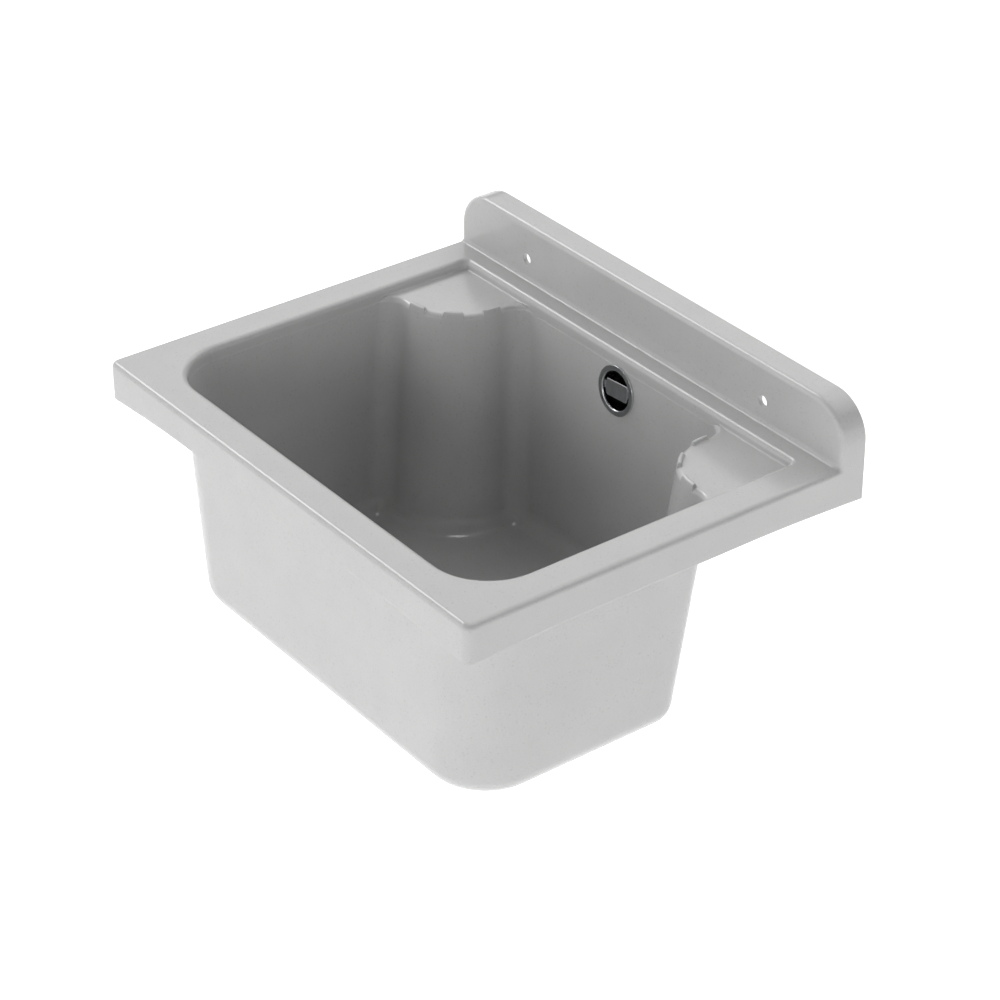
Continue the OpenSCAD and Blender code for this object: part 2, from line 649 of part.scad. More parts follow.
// Pressed dish with a flat flange, a hollow for the screw's head and a ring of holes
flange_top_depth = flat_depth - flange_proud;
dish_floor_depth = flange_top_depth + dish_depth;
dish_slope = 2;
strainer_land = 2.6;
strainer_pitch_r = dish_r - strainer_hole_d / 2 - strainer_land;
head_h = 3;
module waste_flange() {
    color(chrome_rgb) at_waste(dish_floor_depth + flange_t) difference() {
        rotate_extrude() polygon([
            [0, 0], [dish_outer_r, 0], [dish_outer_r, dish_depth], [flange_r, dish_depth],
            [flange_r, dish_depth + flange_t / 2], [flange_r - flange_t / 2, dish_depth + flange_t],
            [dish_r + dish_slope, dish_depth + flange_t], [dish_r, dish_depth + flange_t - dish_slope],
            [dish_r, flange_t], [0, flange_t]]);
        translate([0, 0, -cut]) cylinder(d = screw_d + 2 * thread_gap, h = flange_t + 2 * cut);
        for (k = [0:strainer_holes - 1]) rotate([0, 0, 360 * k / strainer_holes])
            translate([strainer_pitch_r, 0, -cut])
                cylinder(d = strainer_hole_d, h = flange_t + 2 * cut, $fn = 32);
    }
}
module flange_seal() {
    color(rubber_rgb) at_waste(flat_depth + flange_seat)
        tube(flange_r - flange_t, waste_hole_r, flange_seal_t);
}
module body_seal() {
    color(rubber_rgb) at_waste(seal_depth) tube(body_flange_r, waste_hole_r, body_seal_t);
}

// Cup with a side inlet, a threaded outlet and a cross that holds the screw's insert
body_r = waste_hole_r + body_t;
body_base_z = -body_flange_t - body_h;
cross_t = 3;
cross_h = 12;
hub_r = 8.5;
insert_af = 10;
insert_h = 9;
insert_r = insert_af / 2 / cos(30);
insert_z = body_base_z + body_t + cross_h - insert_h;
module waste_body() {
    color(plastic_rgb) at_waste(seal_depth) {
        difference() {
            union() {
                translate([0, 0, -body_flange_t]) cylinder(r = body_flange_r, h = body_flange_t);
                translate([0, 0, body_base_z]) cylinder(r = body_r, h = body_h);
                translate([0, 0, body_base_z - outlet_len]) cylinder(d = outlet_d, h = outlet_len + body_t);
                translate([0, 0, inlet_z - rim_z + seal_depth]) rotate([-90, 0, 0])
                    cylinder(r = socket_r, h = inlet_reach);
            }
            translate([0, 0, body_base_z + body_t]) cylinder(r = waste_hole_r, h = body_h + body_flange_t);
            translate([0, 0, body_base_z - outlet_len - cut])
                cylinder(d = outlet_bore_d, h = outlet_len + body_t + 2 * cut);
            translate([0, inlet_reach - socket_depth, inlet_z - rim_z + seal_depth]) rotate([-90, 0, 0])
                cylinder(r = socket_bore_r, h = socket_depth + cut);
            translate([0, 0, inlet_z - rim_z + seal_depth]) rotate([-90, 0, 0])
                cylinder(r = pipe_r - pipe_t, h = inlet_reach);
        }
        difference() {
            translate([0, 0, body_base_z]) intersection() {
                union() {
                    cylinder(r = hub_r, h = body_t + cross_h);
                    for (a = [45, 135]) rotate([0, 0, a]) translate([-body_r, -cross_t / 2, 0])
                        cube([2 * body_r, cross_t, body_t + cross_h]);
                }
                cylinder(r = waste_hole_r + body_t / 2, h = body_t + cross_h);
            }
            translate([0, 0, insert_z]) cylinder(r = insert_r, h = insert_h + cut, $fn = 6);
            translate([0, 0, body_base_z - cut]) cylinder(d = screw_d + 2 * slide_gap, h = body_h);
        }
    }
}
module screw_insert() {
    color(brass_rgb) at_waste(seal_depth) translate([0, 0, insert_z]) difference() {
        cylinder(r = insert_r, h = insert_h, $fn = 6);
        translate([0, 0, -cut]) cylinder(d = screw_d + 2 * thread_gap, h = insert_h + 2 * cut);
    }
}
// Raised-head screw with a slot, from the dish down through the insert
slot_w = 1.6;
slot_deep = 1.4;
module waste_screw() {
    tip_depth = seal_depth - insert_z + screw_tip;
    color(chrome_rgb) at_waste(dish_floor_depth) difference() {
        union() {
            rotate_extrude() polygon([
                [0, 0], [screw_head_d / 2, 0], [screw_head_d / 2, head_h / 2],
                [screw_head_d / 2 - head_h / 2, head_h], [0, head_h]]);
            translate([0, 0, dish_floor_depth - tip_depth])
                cylinder(d = screw_d, h = tip_depth - dish_floor_depth);
        }
        translate([-screw_head_d, -slot_w / 2, head_h - slot_deep]) cube([2 * screw_head_d, slot_w, head_h]);
    }
}
screw_tip = 3;

// Rubber stopper hollowed over the screw, and the cap that holds it by a barbed stem
stopper_r = dish_r - plug_gap;
cap_t = 1.6;
stem_r = 3;
barb_r = 4.2;
barb_h = 1.5;
hollow_share = 0.55;
module plug_stopper() {
    color(rubber_rgb) at_waste(dish_floor_depth) translate([0, 0, dish_depth - stopper_h]) difference() {
        rotate_extrude() polygon([
            [0, 0], [stopper_r - stopper_taper, 0], [stopper_r, stopper_h - stopper_taper],
            [stopper_r, stopper_h], [0, stopper_h]]);
        translate([0, 0, -cut]) cylinder(r = stopper_r * hollow_share, h = stopper_h / 2 + cut);
        translate([0, 0, -cut]) cylinder(r = stem_r + slide_gap, h = stopper_h + 2 * cut);
    }
}
knob_waist_share = 0.6;
module plug_cap() {
    color(chrome_rgb) at_waste(dish_floor_depth) translate([0, 0, dish_depth]) rotate_extrude() polygon([
        [0, -stopper_h / 2 - barb_h], [stem_r, -stopper_h / 2 - barb_h], [barb_r, -stopper_h / 2],
        [stem_r, -stopper_h / 2], [stem_r, 0], [stopper_r - stopper_taper, 0],
        [stopper_r - stopper_taper, cap_t / 2], [stopper_r - stopper_taper - cap_t / 2, cap_t],
        [knob_d / 2 * knob_waist_share, cap_t], [knob_d / 2 * knob_waist_share, cap_t + knob_h / 3],
        [knob_d / 2, cap_t + knob_h / 2], [knob_d / 2, knob_h], [knob_d / 2 - cap_t, knob_h + cap_t],
        [0, knob_h + cap_t]]);
}

basin();
overflow_rose();
overflow_seal();
overflow_elbow();
elbow_nut();
elbow_washer();
upper_pipe();
slip_nut();
slip_washer();
lower_pipe();
inlet_nut();
inlet_washer();
waste_flange();
waste_screw();
flange_seal();
body_seal();
waste_body();
screw_insert();
plug_stopper();
plug_cap();
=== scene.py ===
import json
import math

import bpy
import bmesh
import numpy as np
from mathutils import Matrix, Vector


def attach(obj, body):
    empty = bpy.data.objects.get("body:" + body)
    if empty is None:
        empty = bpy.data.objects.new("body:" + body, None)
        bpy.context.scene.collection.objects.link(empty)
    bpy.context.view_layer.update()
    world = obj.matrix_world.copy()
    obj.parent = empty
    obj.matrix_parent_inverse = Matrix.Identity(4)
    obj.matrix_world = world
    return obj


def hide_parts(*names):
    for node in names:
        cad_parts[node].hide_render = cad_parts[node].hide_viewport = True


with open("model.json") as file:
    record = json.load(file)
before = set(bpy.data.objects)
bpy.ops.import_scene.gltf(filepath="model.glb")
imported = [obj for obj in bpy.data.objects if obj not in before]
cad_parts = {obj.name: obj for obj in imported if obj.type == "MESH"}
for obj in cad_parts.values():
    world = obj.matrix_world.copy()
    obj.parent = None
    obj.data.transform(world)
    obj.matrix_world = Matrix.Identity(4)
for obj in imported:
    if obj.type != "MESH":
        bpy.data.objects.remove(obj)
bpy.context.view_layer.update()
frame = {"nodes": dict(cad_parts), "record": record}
scene = bpy.context.scene
# One millimetre in metres
MM = 0.001

# Camera, solved from the photo's straight edges, with the focal length in picture widths
SENSOR_W = 36.0
FOCAL = 3.15808
cam_data = bpy.data.cameras.new("camera")
cam = bpy.data.objects.new("camera", cam_data)
scene.collection.objects.link(cam)
cam.matrix_world = Matrix((
    (0.6025715, -0.4187282, 0.6793926, 1.777792),
    (0.7980618, 0.3185335, -0.5115015, -1.484781),
    (-0.0022292, 0.8504135, 0.5261102, 1.262444),
    (0.0, 0.0, 0.0, 1.0)))
cam_data.sensor_width = SENSOR_W
cam_data.lens = SENSOR_W * FOCAL
cam_data.clip_start = 0.05
cam_data.clip_end = 60.0
scene.camera = cam
scene.view_settings.view_transform = "Standard"

# Basin outline, in millimetres; depths are measured below the rim
# The rim's height from the wall screws, the outer size, the wall and the outer roundings
RIM_Z = -19.0
HALF_W = 250.0
FRONT_Y = -365.0
UPSTAND_D = 25.0
UPSTAND_H = 52.0
UPSTAND_R = 35.0
WALL = 4.0
EDGE_R = 5.0
BASE_R = 4.0
OUTER_R = 8.0
# The bowl: its depth, its walls at the rim, and how far each has moved in at that depth
BOWL = 210.0
BOWL_HALF = 216.0
HALF_TAPER = 13.5
BOWL_FRONT = -332.0
FRONT_TAPER = 6.0
BOWL_BACK = -20.5
BACK_TAPER = 18.0
CORNER_R = 50.0
FLOOR_R = 15.0
# The round columns in its back corners, and the hollow corners beside them
COLUMN_R = 54.5
COLUMN_TAPER = 7.0
COLUMN_IN = 25.0
GROOVE_R = 18.0
# The soap trays on the columns: depth, corner, rounded lip, hollow, and their shallower tips
TRAY = 8.0
TRAY_R = 4.0
TRAY_HOLLOW = 1.6
LIP_R = 4.0
LIP_FALL = 0.4
LEDGE = 1.0
TIP_STEP = 0.12
# On the plain wall past the trays, the lip's rings: spacing, least spacing, and the last one's height
PLAIN_STEP = 0.6
PLAIN_LEAST = 0.05
PLAIN_LAST = 0.3
LIP_END = 9.0
# The ridges on a tray's edge: middles in shares of the column's arc, half width and flank in degrees
RIDGE_SHARES = (0.155, 0.525, 0.895)
RIDGE_HALF = 9.25
RIDGE_FLANK = 1.3
# A ridge's rounded top: radius, insets of its two centres, and their depth
RIDGE_TOP_R = 1.4
RIDGE_NEAR = 2.2
RIDGE_FAR = 2.6
RIDGE_D = 6.4
# The skirt: depth at the corners, how far its edge arches up, the arches' run, and its soft edge
SKIRT = 35.0
FRONT_ARCH = 6.0
SIDE_ARCH = 4.0
ARCH_RUN = 120.0
SKIRT_SOFT = 1.2
# The gap from the upstand's sides to its hollow, at the bowl and at the wall side
BASE_GAP = 6.0
BASE_GAP_END = 2.0
# The waste, the flat round it, and the depths of that flat and of the underside
WASTE_Y = -182.25
WASTE_FLAT_R = 44.0
WASTE_FLAT_D = 212.5
UNDER_D = 218.8
# Depths of the rings on the bowl's inner and outer walls
INNER_DEPTHS = (160.0, 125.0, 90.0, 60.0, 35.0, 24.0, 18.5, 16.5)
OUTER_DEPTHS = (17.2, 40.0, 80.0, 120.0, 160.0)


def half_at(d):
    return BOWL_HALF - HALF_TAPER * d / BOWL


def front_at(d):
    return BOWL_FRONT + FRONT_TAPER * d / BOWL


def back_at(d):
    return BOWL_BACK - BACK_TAPER * d / BOWL


def column_r_at(d):
    return COLUMN_R + COLUMN_TAPER * d / BOWL


def column_centre(d):
    return np.array((half_at(d) - COLUMN_IN, back_at(d) - COLUMN_IN))


def groove_centres(d):
    """Centres of the hollow corners at the side wall and at the back wall."""
    reach = column_r_at(d) + GROOVE_R
    aside = COLUMN_IN - GROOVE_R
    far = math.sqrt(reach * reach - aside * aside)
    c = column_centre(d)
    return c + np.array((aside, -far)), c + np.array((-far, aside))


def lead_at(d):
    """How far the column's arc runs past a quarter turn at each end, in degrees."""
    return math.degrees(math.asin((COLUMN_IN - GROOVE_R) / (column_r_at(d) + GROOVE_R)))


# Stations round one half of the bowl, from the front centre to the back centre
N_FRONT = 8
N_CORNER = 21
N_SIDE = 7
N_GROOVE = 16
N_BACK = 10
N_TURN = 5
LEAD = lead_at(0.0)
RIDGE_MID = [(90 + 2 * LEAD) * share - LEAD for share in RIDGE_SHARES]
# Angles of the stations between the outer ridges and the column's ends
OUTER_ANGLES = [-3.8, -1.6, 95.2]


def smooth(t):
    t = min(1.0, max(0.0, t))
    return t * t * (3 - 2 * t)


def quarter(r, count, stop=90):
    """Points on a rounding of radius r, each as its distances from the two faces that it joins."""
    turns = [math.radians(a) for a in np.linspace(0, stop, count)]
    return [(r * (1 - math.sin(t)), r * (1 - math.cos(t))) for t in turns]


def ridge_weight(a):
    """1 on a raised ridge, 0 on the lip between ridges, and a rounded flank between."""
    reach = RIDGE_HALF + 0.5 * RIDGE_FLANK
    return max(smooth((reach - abs(a - m)) / RIDGE_FLANK) for m in RIDGE_MID)


def column_angles():
    """Angles round a column at the rim, closer together at the flanks of the ridges."""
    fine = []
    for m in RIDGE_MID:
        for side in (-1, 1):
            fine += [m + side * (RIDGE_HALF + RIDGE_FLANK * (k / 8 - 0.5)) for k in range(9)]
        fine += [m + RIDGE_HALF * k / 4 for k in range(-3, 4)]
    for a, b in zip(RIDGE_MID, RIDGE_MID[1:]):
        fine += [0.5 * (a + b) + 3 * k for k in range(-2, 3)]
    return sorted(fine + OUTER_ANGLES)


COLUMN = column_angles()
# Two stations more at the column's own ends
N_COLUMN = len(COLUMN) + 1
TRAY_FIRST = N_FRONT + N_CORNER + 1 + N_SIDE
COLUMN_FIRST = TRAY_FIRST + N_GROOVE
TRAY_LAST = TRAY_FIRST + 2 * N_GROOVE + N_COLUMN
TRAY_CORNER = (TRAY_FIRST + TRAY_LAST) // 2
LAST = TRAY_LAST + N_BACK
COUNT = LAST + 1


def column_weight(i):
    """How far onto a ridge a station of the half outline lies."""
    j = i - COLUMN_FIRST
    return ridge_weight(COLUMN[j - 1]) if 0 < j < N_COLUMN else 0.0


def groove_room(i):
    """How far the outline lies from the wall at a station of a hollow corner."""
    k = min(i - TRAY_FIRST, TRAY_LAST - i)
    if k < 0:
        return 0.0
    if k >= N_GROOVE:
        return math.inf
    return GROOVE_R * (1 - math.cos(math.radians(90 * k / N_GROOVE)))


def tip_weight(i):
    """0 at the tray's tips and 1 where its floor has its full width."""
    return smooth((min(i - TRAY_FIRST, TRAY_LAST - i) - 1) / (N_GROOVE * 0.8))


WEIGHT = np.array([column_weight(i) for i in range(COUNT)])
ROOM = np.array([groove_room(i) for i in range(COUNT)])
TIP = np.array([tip_weight(i) for i in range(COUNT)])
IN_TRAY = np.array([TRAY_FIRST < i < TRAY_LAST for i in range(COUNT)])


def outline(d, off=0.0, lip=0.0, ridge=0.0):
    """Half outline of the bowl at depth d, moved inwards by off.

    The trays' edge is drawn back by lip between the ridges, and by ridge on them.
    """
    h, f, b = half_at(d), front_at(d), back_at(d)
    c = column_centre(d)
    gs, gb = groove_centres(d)
    lead = lead_at(d)
    corner = np.array((h - CORNER_R, f + CORNER_R))
    pts = [(corner[0] * k / N_FRONT, f + off) for k in range(N_FRONT)]
    r = CORNER_R - off
    for k in range(N_CORNER + 1):
        a = math.radians(90 * k / N_CORNER)
        pts.append((corner[0] + r * math.sin(a), corner[1] - r * math.cos(a)))
    for k in range(1, N_SIDE + 1):
        pts.append((h - off, corner[1] + (gs[1] - corner[1]) * k / (N_SIDE + 1)))
    r = GROOVE_R - off + lip
    turns = [math.radians(k / N_GROOVE * (90 + lead)) for k in range(N_GROOVE)]
    for a in turns:
        pts.append((min(gs[0] + r * math.cos(a), h - off), gs[1] + r * math.sin(a)))
    for j, a in enumerate([-LEAD] + COLUMN + [90 + LEAD]):
        w = 0.0 if j in (0, N_COLUMN) else WEIGHT[COLUMN_FIRST + j]
        reach = column_r_at(d) + off - (lip * (1 - w) + ridge * w)
        t = math.radians(-lead + (a + LEAD) / (90 + 2 * LEAD) * (90 + 2 * lead))
        pts.append((c[0] - reach * math.sin(t), c[1] - reach * math.cos(t)))
    for a in reversed(turns):
        pts.append((gb[0] + r * math.sin(a), min(gb[1] + r * math.cos(a), b - off)))
    for k in range(1, N_BACK + 1):
        pts.append((gb[0] * (1 - k / N_BACK), b - off))
    return np.array(pts)


def rectangle(d, off=0.0, inset=0.0):
    """The same half outline with the tray's square corner in place of the column."""
    o = outline(d, off)
    h, b = half_at(d) - off - inset, back_at(d) - off - inset
    r = max(TRAY_R - min(off, 0.0) - inset, 1.0)
    out = o.copy()
    start, stop = TRAY_CORNER - N_TURN, TRAY_CORNER + N_TURN
    for i in range(TRAY_FIRST, TRAY_LAST + 1):
        if i < start:
            s = (i - TRAY_FIRST) / (start - TRAY_FIRST)
            out[i] = (h, o[TRAY_FIRST][1] * (1 - s) + (b - r) * s)
        elif i <= stop:
            a = math.radians(90 * (i - start) / (stop - start))
            out[i] = (h - r + r * math.cos(a), b - r + r * math.sin(a))
        else:
            s = (i - stop) / (TRAY_LAST - stop)
            out[i] = ((h - r) * (1 - s) + o[TRAY_LAST][0] * s, b)
    return out


def ring(half, depth):
    """A half outline with one depth, or with a depth for each station."""
    depth = np.broadcast_to(np.asarray(depth, float), (COUNT,))
    return np.column_stack((half, depth))


def lip_profile():
    """Inset and depth up the lip and on to the tray's floor, and up and over a ridge beside it."""
    lip = [(0.0, d) for d in (15.6, 14.6, 13.7, 13.0)]
    for up, inset in quarter(LIP_R, 12):
        lip.append((inset, TRAY + LIP_FALL * (1 - inset / LIP_R) + up))
    lip += [(inset, TRAY) for inset in (5.2, 6.4, 7.4, 8.6)]
    ridge = [(0.0, 15.6), (0.02, 14.0), (0.08, 12.4), (0.22, 10.6), (0.42, 8.8), (0.62, 7.4), (0.80, 6.45)]
    for middle, turns in ((RIDGE_NEAR, (20, 45, 70, 90)), (RIDGE_FAR, (90, 120, 150))):
        for t in map(math.radians, turns):
            ridge.append((middle - RIDGE_TOP_R * math.cos(t), RIDGE_D - RIDGE_TOP_R * math.sin(t)))
    ridge += [(4.05, 6.6), (4.25, 7.3), (4.5, 7.72), (4.95, 7.95), (6.2, TRAY), (8.65, TRAY)]
    return lip, ridge


def lip_ring(lip, ridge):
    """One ring of the lip: each station is drawn back by its share of both profiles."""
    # On the tray's floor the outline is that of just above it
    level = lip[1] if lip[1] > TRAY + 0.2 else TRAY - 0.3
    half = outline(level, 0.0, lip[0], ridge[0])
    depth = np.zeros(COUNT)
    for i in range(COUNT):
        d_lip = lip[1]
        # Where a hollow corner leaves less room than the lip needs, its rounding ends sooner
        if lip[0] > 0 and ROOM[i] < LIP_R:
            run = 1 - min(ROOM[i], lip[0]) / LIP_R
            start = TRAY + LIP_R + LIP_FALL * (1 - min(lip[0], LIP_R) / LIP_R)
            d_lip = start - LIP_R * math.sqrt(max(0.0, 1 - run * run))
        depth[i] = d_lip * (1 - WEIGHT[i]) + ridge[1] * WEIGHT[i]
    # Past the trays the same rings run up the plain wall
    flat = lip[1]
    if lip[0] > 0:
        flat = max(TRAY + LIP_R + LIP_FALL - PLAIN_STEP * lip[0],
                   TRAY + PLAIN_LAST + PLAIN_LEAST * (LIP_END - lip[0]))
    depth[~IN_TRAY] = flat
    return ring(half, depth)


def floor_ring(inset, d_floor, d_tip):
    """The tray's floor where it meets the walls, with a small hollow that ends before the tips."""
    moved = rectangle(d_tip, 0.0, inset)
    w = np.where(IN_TRAY, TIP, 0.0)[:, None]
    depth = np.where(IN_TRAY, d_tip * (1 - TIP) + d_floor * TIP, d_tip)
    return ring(rectangle(d_tip) * (1 - w) + moved * w, depth)


def waste_ring(half, r, depth):
    """A circle round the waste, with its stations in the directions of the outline's."""
    out = np.zeros((COUNT, 2))
    for i in range(COUNT):
        a = math.atan2(half[i][0], -(half[i][1] - WASTE_Y))
        out[i] = (0.0 if i in (0, LAST) else r * math.sin(a), WASTE_Y - r * math.cos(a))
    return ring(out, depth)


# Outer edge of the moulding, by the same stations
RIM_HALF = rectangle(0.0, -EDGE_R)
EDGE_FRONT = N_FRONT + 3
EDGE_SIDE = EDGE_FRONT + 10
EDGE_TURN = TRAY_CORNER - N_TURN
EDGE_POST = TRAY_CORNER + N_TURN
EDGE_ARC = EDGE_POST + 3
EDGE_TOP = EDGE_ARC + 18


def along(i, a, b, axis):
    """How far station i of the rim lies from station a to station b, measured on one axis."""
    return (RIM_HALF[i][axis] - RIM_HALF[a][axis]) / (RIM_HALF[b][axis] - RIM_HALF[a][axis])


def upstand_point(i, inset, y):
    """A point on the upstand's outline, from the foot of its side to its top's middle."""
    top = UPSTAND_R - UPSTAND_H
    if i < EDGE_ARC:
        s = (i - EDGE_POST) / (EDGE_ARC - EDGE_POST)
        low = -BASE_R - 1.0 if i > EDGE_POST else -BASE_R
        return (HALF_W - inset, y, low + (top - low) * s)
    if i < EDGE_TOP:
        a = math.radians(90 * (i - EDGE_ARC) / (EDGE_TOP - EDGE_ARC))
        r = UPSTAND_R - inset
        return (HALF_W - UPSTAND_R + r * math.cos(a), y, top - r * math.sin(a))
    return ((HALF_W - UPSTAND_R) * (1 - along(i, EDGE_TOP, LAST, 0)), y, inset - UPSTAND_H)


def edge_point(i, inset, p, r):
    """A point on the outer edge: p is its depth at the rim and its y on the upstand."""
    if i <= EDGE_FRONT:
        return ((HALF_W - OUTER_R) * along(i, 0, EDGE_FRONT, 0), FRONT_Y + inset, p)
    if i < EDGE_SIDE:
        a = math.radians(90 * (i - EDGE_FRONT) / (EDGE_SIDE - EDGE_FRONT))
        return (HALF_W - OUTER_R + (OUTER_R - inset) * math.sin(a),
                FRONT_Y + OUTER_R - (OUTER_R - inset) * math.cos(a), p)
    if i <= EDGE_TURN:
        s = along(i, EDGE_SIDE, EDGE_TURN, 1)
        return (HALF_W - inset, (FRONT_Y + OUTER_R) * (1 - s) + (p - r) * s, p)
    if i <= EDGE_POST:
        a = math.radians(90 * (i - EDGE_TURN) / (EDGE_POST - EDGE_TURN))
        return (HALF_W - inset, p - r + r * math.sin(a), p - r + r * math.cos(a))
    return upstand_point(i, inset, p)


def edge_ring(inset, p, r):
    return np.array([edge_point(i, inset, p, r) for i in range(COUNT)])


def arch(rise, from_corner):
    """How far the skirt's edge has arched up at a distance from a corner."""
    return rise * math.sin(math.radians(90 * min(1.0, max(0.0, from_corner) / ARCH_RUN)))


def skirt_drop(x, y):
    if y < FRONT_Y + OUTER_R:
        return SKIRT - arch(FRONT_ARCH, HALF_W - abs(x))
    return SKIRT - arch(SIDE_ARCH, min(y - FRONT_Y, UPSTAND_D - y))


def lower_ring(inset, back_off):
    """Lower edge of the skirt and the edge against the wall, moved back from them by back_off."""
    out = []
    for i in range(COUNT):
        if i < EDGE_SIDE:
            x, y, _ = edge_point(i, inset, 0.0, 0.0)
            out.append((x, y, skirt_drop(x, y) - back_off))
        elif i <= EDGE_TURN:
            s = along(i, EDGE_SIDE, EDGE_TURN, 1)
            y = (FRONT_Y + OUTER_R) * (1 - s) + UPSTAND_D * s
            end = back_off if i == EDGE_TURN else 0
            out.append((HALF_W - inset, y - end, skirt_drop(HALF_W, y) - back_off))
        elif i <= EDGE_POST:
            s = (i - EDGE_TURN) / (EDGE_POST - EDGE_TURN)
            out.append((HALF_W - inset, UPSTAND_D - back_off, (SKIRT - back_off) * (1 - s)))
        else:
            out.append(upstand_point(i, inset, UPSTAND_D - back_off))
    return np.array(out)


def base_ring(share, bowl, edge, wall, inset, low, span):
    """Between the bowl's edge and the outer edge: flat on the rim, and hollowed up into the upstand.

    With a wall, the ring is that of the underside.
    """
    r = BASE_R + wall
    out = np.zeros((COUNT, 3))
    for i in range(COUNT):
        if i <= EDGE_TURN:
            out[i] = bowl[i] + (edge[i] - bowl[i]) * (low + span * share)
            continue
        turn = min(1.0, (i - EDGE_TURN) / (EDGE_POST - EDGE_TURN))
        a = math.radians(90 * turn * share)
        gap = BASE_GAP - (BASE_GAP - BASE_GAP_END) * share
        x = (HALF_W - inset - gap) * min(1.0, (LAST - i) / (LAST - EDGE_POST))
        back = r + BASE_R * (1 - turn) * (1 - share)
        out[i] = (x, r * math.sin(a) - back + wall, wall - r + r * math.cos(a))
    return out


def inside_rings():
    """From the flat round the waste, up the bowl and over the trays, to the rim."""
    bottom = outline(BOWL, FLOOR_R)
    start, stop = waste_ring(bottom, WASTE_FLAT_R, WASTE_FLAT_D), ring(bottom, BOWL)
    rings = [start]
    # The floor falls gently to the flat round the waste
    for s in (0.12, 0.4, 0.7):
        mid = start * (1 - s) + stop * s
        mid[:, 2] = WASTE_FLAT_D - (WASTE_FLAT_D - BOWL) * smooth(s)
        rings.append(mid)
    for off, up in quarter(FLOOR_R, 13):
        rings.append(ring(outline(BOWL - up, off), BOWL - up))
    for d in INNER_DEPTHS:
        rings.append(ring(outline(d), d))
    for lip, ridge in zip(*lip_profile()):
        rings.append(lip_ring(lip, ridge))
    for k, (inset, up) in enumerate(quarter(TRAY_HOLLOW, 5)):
        rings.append(floor_ring(inset, TRAY - up, TRAY - LEDGE - TIP_STEP * k))
    for d, out in quarter(EDGE_R, 9, 80):
        rings.append(ring(rectangle(d, -out), d))
    rings.append(ring(RIM_HALF, 0.0))
    return rings


def underside_rings():
    """From under the rim, round the trays and down the bowl's outside, to the waste."""
    tray = TRAY + WALL
    rings = [ring(rectangle(WALL, -WALL), WALL)]
    tips = np.where(IN_TRAY, (tray - LEDGE) * (1 - TIP) + tray * TIP, tray - LEDGE)
    rings.append(ring(rectangle(tray - LEDGE, -WALL), tips))
    half = outline(tray - LEDGE / 2, -WALL, 2 * WALL, 2 * WALL)
    rings.append(ring(half, np.where(IN_TRAY, tray, tray - LEDGE / 2)))
    rings.append(ring(outline(tray, -WALL), tray))
    for d in OUTER_DEPTHS:
        rings.append(ring(outline(d, -WALL), d))
    for off, up in reversed(quarter(FLOOR_R + WALL, 13)):
        d = BOWL + WALL - up
        rings.append(ring(outline(d, off - WALL), d))
    rings.append(waste_ring(outline(BOWL, FLOOR_R), WASTE_FLAT_R, UNDER_D))
    return rings


def moulding_rings():
    """All rings of the shell: inside, rim and upstand, skirt, their backs, and the underside."""
    rings = inside_rings()
    bowl, edge = rings[-1], edge_ring(EDGE_R, 0.0, BASE_R)
    rings += [base_ring(k / 8, bowl, edge, 0.0, EDGE_R, 0.70, 0.24) for k in range(9)]
    rings += [edge_ring(inset, p, BASE_R) for inset, p in quarter(EDGE_R, 10)]
    rings += [lower_ring(inset, back) for back, inset in quarter(SKIRT_SOFT, 4)]
    rings += [lower_ring(WALL - inset, back) for back, inset in reversed(quarter(SKIRT_SOFT, 3))]
    bowl, edge = ring(rectangle(WALL, -WALL), WALL), edge_ring(WALL, WALL, BASE_R + WALL)
    rings.append(edge)
    rings += [base_ring(k / 4, bowl, edge, WALL, WALL, 0.76, 0.16) for k in range(4, -1, -1)]
    return rings + underside_rings()


def place_mesh(name, mesh, matrix=None):
    if matrix is not None:
        mesh.transform(matrix)
    obj = bpy.data.objects.new(name, mesh)
    scene.collection.objects.link(obj)
    return obj


def build_moulding():
    """The shell's surface, from its half rings and their mirror images."""
    rings = moulding_rings()
    n = 2 * LAST
    verts = []
    for half in rings:
        right = [(p[0] if i not in (0, LAST) else 0.0, p[1], RIM_Z - p[2]) for i, p in enumerate(half)]
        left = [(-x, y, z) for x, y, z in right[LAST - 1:0:-1]]
        verts += right + left
    verts = np.array(verts) * MM
    faces = []
    for k in range(len(rings) - 1):
        for i in range(n):
            a, b = k * n + i, k * n + (i + 1) % n
            faces.append((a, b, b + n, a + n))
    faces.append(tuple(range(n - 1, -1, -1)))
    faces.append(tuple((len(rings) - 1) * n + i for i in range(n)))
    mesh = bpy.data.meshes.new("basin_moulding")
    mesh.from_pydata(verts.tolist(), [], faces)
    mesh.validate()
    mesh.update()
    bm = bmesh.new()
    bm.from_mesh(mesh)
    bmesh.ops.remove_doubles(bm, verts=bm.verts, dist=2e-6)
    bmesh.ops.triangulate(bm, faces=[f for f in bm.faces if len(f.verts) > 4])
    bmesh.ops.recalc_face_normals(bm, faces=bm.faces)
    bm.to_mesh(mesh)
    bm.free()
    return place_mesh("basin_moulding", mesh)


# Lathes, plates and cuts, in millimetres
def move(x=0.0, y=0.0, z=0.0):
    return Matrix.Translation((x * MM, y * MM, z * MM))


def turn_about(axis, degrees):
    return Matrix.Rotation(math.radians(degrees), 4, axis)


